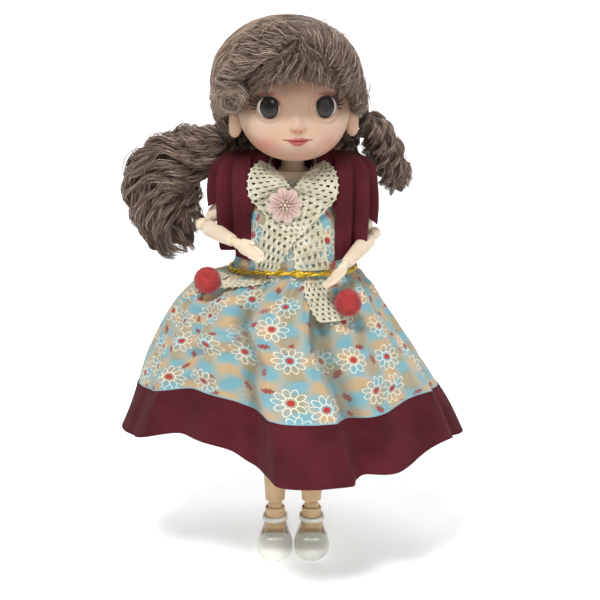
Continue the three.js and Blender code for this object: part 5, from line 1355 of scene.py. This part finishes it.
def make_tails():
    """The lace that hangs from the belt, and the gathered rope of it along the waist."""
    down, wide = linspace(0, 1, 90)[:, None], linspace(-1, 1, 9)[None]
    ruffle = 1.5 + 0.9 * sin(55 * down + 2 * wide)
    share = 0.012 + 0.045 * down + (0.007 + 0.017 * down) * wide
    net, stitches = crochet(on_skirt(radians(-108 - 40 * down + 0 * wide), share, ruffle), cell=2.2, radius=0.26)
    wide = 9 * linspace(-1, 1, 21)[None]
    for side, angle, slant, stop, extra in (("right", -158, 0, 0.08, net + stitches), ("left", -67, 9, 0.2, [])):
        turn = radians(angle + slant * linspace(-0.3, 1, 30)[:, None] + wide)
        grid = on_skirt(turn, linspace(0.01, stop, 30)[:, None], 1.25)
        make_lace(f"lace_tail_{side}", grid, f"tail_{side}", extra)


def make_pompoms():
    radius, count, steps = 6.9, 3600, 4
    share = linspace(0, 1, steps)[None, :, None]
    shape, groups = ball((0, 0, 0), 1, 64)
    x, y, z = shape.T
    lumps = 1 + 0.018 * sin(5 * x + 1) * cos(6 * z) + 0.012 * sin(11 * y)
    for side, _ in SIDES:
        centre = node_middle(f"pompom_{side}")
        out = unit(rng.normal(size=(count, 3)))
        sway = rng.normal(0, 0.3, (count, 3))
        paths = centre + out[:, None] * (radius - 0.15 + 0.25 * share) + sway[:, None] * share**1.5
        nap = tubes(paths, linspace(0.12, 0.06, steps)[None], 3)
        parts = [(shape * lumps[:, None] * radius + centre, groups), nap]
        felt = build(f"pompom_felt_{side}", parts, "felt", "torso", (f"pompom_{side}",))


def make_flower():
    lean, petals = radians(14), 8
    face, up = array([0, -cos(lean), sin(lean)]), array([0, sin(lean), cos(lean)])
    across = array([1.0, 0, 0])
    centre = node_middle("flower") - 1.5 * up
    u, v = linspace(0, 1, 26)[:, None], linspace(-1, 1, 17)[None]
    wide = 3.35 * sin(pi * clip(0.1 + 0.8 * u, 0, 1)) ** 0.8
    rib = hump(v, 0, 0.12) * (1 - u) + hump(np.abs(v), 0.5, 0.1) * (0.8 - u).clip(0)
    parts, marks = [], {"out": [], "rib": []}
    for k in range(petals):
        turn = TURN * k / petals + 0.2
        height = 0.9 * sin(pi * u) * (1 - 0.75 * v**2) + 0.5 * (k % 2) + 0.22 * cos(4 * pi * v) * u
        along, aside = wound(turn, across, up), wound(turn, up, -across)
        grid = centre + (1.2 + 8.3 * u)[..., None] * along + (wide * v)[..., None] * aside
        grid = grid + (height - 0.2)[..., None] * face
        threads = tubes(grid[1:20, [3, 8, 13]].transpose(1, 0, 2) + 0.22 * face, linspace(0.2, 0.07, 19)[None], 5)
        parts += [sheet_solid(grid, 0.35), threads]
        marks["out"] += [np.tile((u + 0 * v).ravel(), 2), full(len(threads[0]), 0.3)]
        marks["rib"] += [np.tile(rib.ravel(), 2), full(len(threads[0]), 0.9)]
    marks = {key: concatenate(values) for key, values in marks.items()}
    build("flower_petals", parts, "petal", "torso", ("flower",), marks)
    beads = [ball(centre + face * 1.5, 1.05, 20)]
    for ring, count, size in ((2.0, 6, 0.85), (3.3, 11, 0.6)):
        for k in range(count):
            spot = centre + ring * wound(TURN * k / count + ring, across, up) + face * (1.45 - 0.12 * ring)
            beads.append(ball(spot, size, 16))
    build("flower_beads", beads, "bead", "torso")


make_shawls()
make_tails()
make_pompoms()
make_flower()

# Hair: a dark base under strands, in pieces small enough to keep every strand
# The dark base is painted shade: the hair's shaded depth under the strands
CROWN_MIDDLE = array([-3, 2, 0])
CROWN_HALF = array([41.5, 40, 35.9])
CROWN_LOWER = array([41.5, 40, 50])
# Paths and radii along them
PIGTAILS = {
    "right": (
        ((-29, 9.2, -26), (-37, 12.2, -28.5), (-51, 19.8, -39), (-68.5, 27, -51), (-69.5, 32, -74), (-55, 34, -95)),
        (5.6, 5.6, 13.5, 21, 21, 15.5),
    ),
    "left": (
        ((29, 6.8, -16), (38, 9, -20.8), (46, 14, -30), (52, 18.5, -42), (58, 20, -54), (62, 20.5, -64)),
        (5.6, 5.6, 10.5, 11.5, 10.5, 6.5),
    ),
}
# Degrees from the front, and the height of the hair's lower edge there
HAIRLINE = ((0, 30, 45, 60, 75, 90, 110, 180), (17, 13, 6, -6, -16, -26, -33, -33))
# The hairline from the parting to the temple, as directions from the crown's middle
TEMPLE = ((0, -0.9, 0.55), (0.4, -0.8, 0.45), (0.66, -0.62, 0.22), (0.78, -0.5, -0.08))
TEMPLE_STRANDS = 420
# Each half of the crown: strands, steps along them, frizz, tones. The right half's paler tones are partly pale frizz
# and partly painted highlight on the top of the head.
CROWN = {"right": (1250, 20, 1.0, (0.36, 1.25)), "left": (1750, 15, 0.35, (-0.2, 1.0))}
# Rolls of the fringe: path, radii, strands, turns; the last ones lie on the doll's left
FRINGE_ROLLS = (
    (((3, -29, 30), (-6, -34, 29), (-14, -35, 24), (-20, -34, 17)), (3, 5.4, 5.6, 3.8), 220, 1.7),
    (((-12, -29, 31), (-21, -32, 25), (-27, -30, 17), (-30, -27, 9)), (3, 5.8, 6.2, 4.2), 220, 1.6),
    (((-13, -24, 29), (-14, -29, 28.5), (-15, -33.5, 28), (-15.5, -36.5, 27.5)), (4, 6, 6.2, 4), 170, 1.3),
    (((-22, -22, 20), (-24, -28, 19), (-25.5, -32, 18), (-26.5, -34.5, 17.5)), (4, 6, 6.2, 4), 170, -1.3),
    (((-27, -12, -1), (-31, -19, -3), (-34, -25, -5), (-35, -29, -6)), (5.5, 7.2, 7, 4.4), 260, 1.6),
    (((-29, -26, 12), (-33, -25, 6), (-36, -20, -2), (-37, -14, -12)), (3.5, 5, 6, 5), 170, 2.2),
    (
        ((1, -30, 29), (11, -35, 27), (19.5, -34.5, 20), (25.5, -30, 10), (28.5, -26, -1)),
        (3.5, 5.6, 6, 5.2, 3.2), 330, 2.2,
    ),
    (((27, -27, 8), (31, -22, 0), (33.5, -15, -8), (34.5, -8, -15)), (3, 4.2, 4, 2.6), 170, 1.2),
)
LEFT_ROLLS = 2


def on_crown(directions, scale):
    """Places on the crown's form, seen from its middle."""
    half = where(directions[..., 2:] > 0, CROWN_HALF, CROWN_LOWER)
    reach = 1 / np.linalg.norm(unit(directions) / half, axis=-1, keepdims=True)
    return CROWN_MIDDLE + unit(directions) * reach * scale


def frizz(count, steps, size):
    """Smooth random sway for strands, growing from their roots."""
    share = linspace(0, 1, steps)[None, :, None]
    sway = zeros((count, steps, 3))
    for waves in (1.5, 3.3, 6.1):
        sway += sin(TURN * (waves * share + rng.random((count, 1, 3)))) / waves**0.5
    return size * sway * minimum(share * 4, 1)


def strand_piece(name, bundles, thick, dark=0.0, light=1.0):
    """Strands along paths, each with a tone drawn at random between two; higher tones make pale strands, partly
    painted highlight.
    """
    parts, chance = [], []
    for paths in bundles:
        share = linspace(-1, 1, paths.shape[1])
        taper = thick * (1 - 0.65 * np.abs(share) ** 5) * rng.uniform(0.75, 1.2, (len(paths), 1))
        parts.append(tubes(head_point(paths), taper, 3))
        chance.append(repeat(rng.uniform(dark, light, len(paths)), paths.shape[1] * 3))
    build(name, parts, "hair", "head", (), {"chance": concatenate(chance)})


def lock(path, radii, count, turns, sway=1.3, steps=28):
    """A roll of hair: strands winding round a path."""
    centre = spline(path, steps)
    normal, across = frame_along(centre)
    share = linspace(0, 1, steps)[None]
    rho = rng.uniform(0.5, 1.06, (count, 1))
    angle = TURN * (rng.random((count, 1)) + turns * share + 0.25 * rng.normal(size=(count, 1)) * share)
    reach = rho * spline(radii, steps)
    slip = rng.normal(0, 1.2, (count, 1, 3))
    return centre + reach[..., None] * wound(angle, normal, across) + slip * 0.6 + frizz(count, steps, sway)


def ringlet(path, coil, turns, count, loose, sway, steps=44):
    """A corkscrew curl: a flat bundle of strands winding as one round a path."""
    centre = spline(path, steps)
    normal, across = frame_along(centre)
    share = linspace(0, 1, steps)
    angle = TURN * (turns * share + rng.random())
    open_coil = coil * minimum(share * 5, 1) * (1 - 0.35 * share)
    spiral = centre + open_coil[:, None] * wound(angle, normal, across)
    offset = rng.normal(0, loose, (count, 1, 3)) * minimum(0.35 + 2 * share, 1)[None, :, None]
    return spiral[None] + offset + frizz(count, steps, sway)


def make_crown_base():
    """The form under the crown's strands, open at the face, dark as painted shade."""
    turn = radians(linspace(-180, 180, 161))
    limit = interp(np.abs(degrees(turn)), *HAIRLINE)
    low = np.arcsin(clip(limit / where(limit > 0, CROWN_HALF[2], CROWN_LOWER[2]), -1, 1))
    rise = pi / 2 - 0.01 + linspace(0, 1, 50)[:, None] * (low - pi / 2)
    way = spread(cos(rise) * sin(turn), -cos(rise) * cos(turn), sin(rise))
    lumps = 0.012 * sin(9 * turn + 3 * rise) + 0.008 * sin(17 * turn - 5 * rise)
    grid = CROWN_MIDDLE + where(way[..., 2:] > 0, CROWN_HALF, CROWN_LOWER) * way * (0.925 + lumps)[..., None]
    build("crown_base", [sheet_solid(head_point(grid), 2.0)], "under_hair", "head", ("crown_hair",))


def swept(roots, middles, ends, steps, scale):
    """Strands over the crown from their roots to a tie."""
    share = linspace(0, 1, steps)[None, :, None]
    path = (1 - share) ** 2 * roots[:, None] + 2 * share * (1 - share) * middles[:, None] + share**2 * ends[:, None]
    return on_crown(path, scale)


def make_crown():
    """Frizzy hair on the right half, sleek and darker hair on the left half, both drawn to the ties."""
    make_crown_base()
    hairline = spline(TEMPLE, 200)
    for side, sign in SIDES:
        count, steps, wild, tones = CROWN[side]
        end = unit(array(PIGTAILS[side][0][1]) - CROWN_MIDDLE)
        over = radians(rng.uniform(34, 215, count))
        roots = unit(spread(sign * rng.uniform(-0.04, 0.16, count), -cos(over), sin(over)))
        middles = unit(roots + end + array([sign * 0.9, 0, 0.25]) * cos(over)[:, None].clip(0))
        ends = end + rng.normal(0, 0.05, (count, 3))
        scale = rng.uniform(0.935, 0.985, (count, 1, 1))
        front = cos(over)[:, None, None].clip(0.25, 1)
        back = swept(roots, middles, ends, steps, scale) + frizz(count, steps, wild) * front
        count = TEMPLE_STRANDS
        along = rng.random(count)
        roots = unit(hairline[(along * 199).astype(int)] * [sign, 1, 1] + rng.normal(0, 0.02, (count, 3)))
        middles = unit(roots + array([sign * 0.9, 0.1, 0.05]))
        ends = end + rng.normal(0, 0.06, (count, 3))
        temple = swept(roots, middles, ends, steps, rng.uniform(0.9, 1.0, (count, 1, 1))) + frizz(count, steps, wild)
        strand_piece(f"crown_strands_{side}", [back, temple], 0.24, *tones)
        curls = []
        for k in range(9):
            x = sign * (10 + 3.2 * k)
            y = 24.5 - 0.005 * x**2 + 2.6 * (-1) ** k
            tip = (x + sign * 0.5, y + 0.5, -38 - 0.4 * k)
            line = [(x * 0.9, y - 5, -20), (x * 0.97, y - 1, -29), (x, y, -36), tip]
            curls.append(ringlet(line, coil=2.1, turns=2.2, count=34, loose=0.8, sway=0.5, steps=28))
        strand_piece(f"nape_curls_{side}", curls, thick=0.22)


def make_nape():
    """Hair behind the neck, under the curls there, painted dark as shade."""
    across, down = linspace(-1, 1, 61)[None], linspace(0, 1, 24)[:, None]
    top = -20
    low = -36 - 6.5 * smoothstep(np.abs(across), 0.3, 0.6)
    y = 26 - 6.5 * across**2 + 0.5 * sin(40 * across) * down
    grid = spread(across * (29 + 9 * down), y, top + (low - top) * down)
    build("nape_base", [sheet_solid(head_point(grid), 1.6)], "under_hair", "head")


def make_fringe():
    rolls = [lock(*roll) for roll in FRINGE_ROLLS]
    # The rolls' paler tones are partly pale fibres and partly painted highlight on the top of the head
    strand_piece("fringe_rolls_right", rolls[:-LEFT_ROLLS], thick=0.18, dark=0.28, light=1.2)
    strand_piece("fringe_rolls_left", rolls[-LEFT_ROLLS:], thick=0.18, dark=0.25, light=1.15)
    cores = [tube(head_point(spline(path, 30)), 0.6 * spline(radii, 30), 16) for path, radii, _, _ in FRINGE_ROLLS]
    build("fringe_base", cores, "under_hair", "head", ("fringe",))
    count, steps = 620, 24
    at = rng.uniform(-1.03, 1, count)
    share = linspace(0, 1, steps)[None]
    fan = at[:, None] * (5 + 24 * share**0.75) + 0.6
    top = 27 - 6 * np.abs(at)
    low = maximum(6.6 - 11 * np.abs(at) ** 2.2 + minimum(rng.normal(0, 2.7, count), 6), -6)
    fall = top[:, None] + (low - top)[:, None] * share**1.15
    out = 1.4 + 13 * (1 - share) ** 1.6 + rng.uniform(0, 1.8, (count, 1))
    depth = face_depth(clip(fan, -30, 30), clip(fall, -30, 26)) - out
    wisps = [spread(fan, depth, fall) + frizz(count, steps, 0.85)]
    for at in linspace(-0.95, 0.95, 26):
        x, z = 0.6 + 27 * at, 9.0 - 12 * np.abs(at) ** 2.2
        y = face_depth(clip(x, -29, 29), z) - 3.2
        top = (0.7 * x, y - 2.5, z + 10)
        tip = (x + rng.normal(0, 2), y + 0.4, z - 3.5 + rng.normal(0, 1.2))
        line = [top, ((top[0] + tip[0]) / 2, y - 2, z + 3), tip]
        wisps.append(ringlet(line, coil=1.7, turns=1.2, count=17, loose=0.6, sway=0.35, steps=26))
    strand_piece("fringe_wisps", wisps, thick=0.15, dark=0.1)


def make_pigtail(side, ringlets, groups, coil):
    path, radii = PIGTAILS[side]
    steps, sides, stations = 60, 40, 9
    centre, reach = spline(path, steps), spline(radii, steps)
    rounded = (1 - linspace(0, 1, steps) ** 8).clip(0.03) ** 0.5
    base, faces = tube(centre, 0.68 * reach * rounded, sides)
    x, y, z = base.T
    lumps = 1 + 0.09 * sin(0.42 * x + 1) * sin(0.5 * z) + 0.05 * sin(0.9 * y)
    middle = repeat(centre, sides, 0)
    base = middle + (base - middle) * lumps[:, None]
    on_head(f"pigtail_base_{side}", [(base, faces)], "under_hair", (f"pigtail_{side}",))
    normal, across = frame_along(centre)
    for group in range(groups):
        curls = []
        for k in range(ringlets):
            first, last = rng.integers(9, 15), rng.integers(46, 60)
            keep = linspace(first, last, stations).astype(int)
            rho = 0.95 - 0.24 * rng.random() ** 2
            angle = TURN * (k * 0.618 + group * 0.31) + rng.normal(0, 0.25) + linspace(0, 0.9, stations)
            aside = wound(angle, normal[keep], across[keep])
            line = centre[keep] + aside * (rho * (reach[keep] - 2.4).clip(2))[:, None]
            wider, loose = (1.3, 0.4) if k % 3 == 0 else (1, 0.9)
            size = rng.uniform(2.4, 4.0) * coil * wider
            curls.append(ringlet(line, size, rng.uniform(2.6, 4.6), count=32, loose=loose, sway=0.7))
        # dark=0.15 lifts the pigtails' tones: partly pale fibres and partly painted highlight
        strand_piece(f"pigtail_strands_{side}_{group + 1}", curls, thick=0.21, dark=0.15)
    make_tie(side, *array(path[:2]))


def make_tie(side, root, middle):
    """The gathered elastic round the root of a pigtail."""
    steps, sides = 144, 14
    turn = circle(steps)
    way = unit(middle - root)
    aside = unit(cross(way, [0, 0, 1]))
    ring = middle + 5.1 * wound(turn, aside, cross(aside, way))
    shape = tube(head_point(ring), 0.95 + 0.14 * sin(24 * turn), sides, True)
    weave = spread(turn[:, None] * 8, arange(sides) * 0.45, 0).reshape(-1, 3)
    build(f"hair_tie_band_{side}", [shape], "tie", "head", (f"hair_tie_{side}",), {"weave": weave})


make_crown()
make_nape()
make_fringe()
make_pigtail("right", ringlets=22, groups=3, coil=1)
make_pigtail("left", ringlets=20, groups=1, coil=0.75)

# Hidden CAD pieces keep their place under a finish of their own
HIDDEN = {"torso_front": "arm", "torso_back": "arm", "eye_bracket": "bracket", "wig_cap": "under_hair"}
for node, finish in HIDDEN.items():
    frame["nodes"][node].data.materials.clear()
    frame["nodes"][node].data.materials.append(paint[finish])
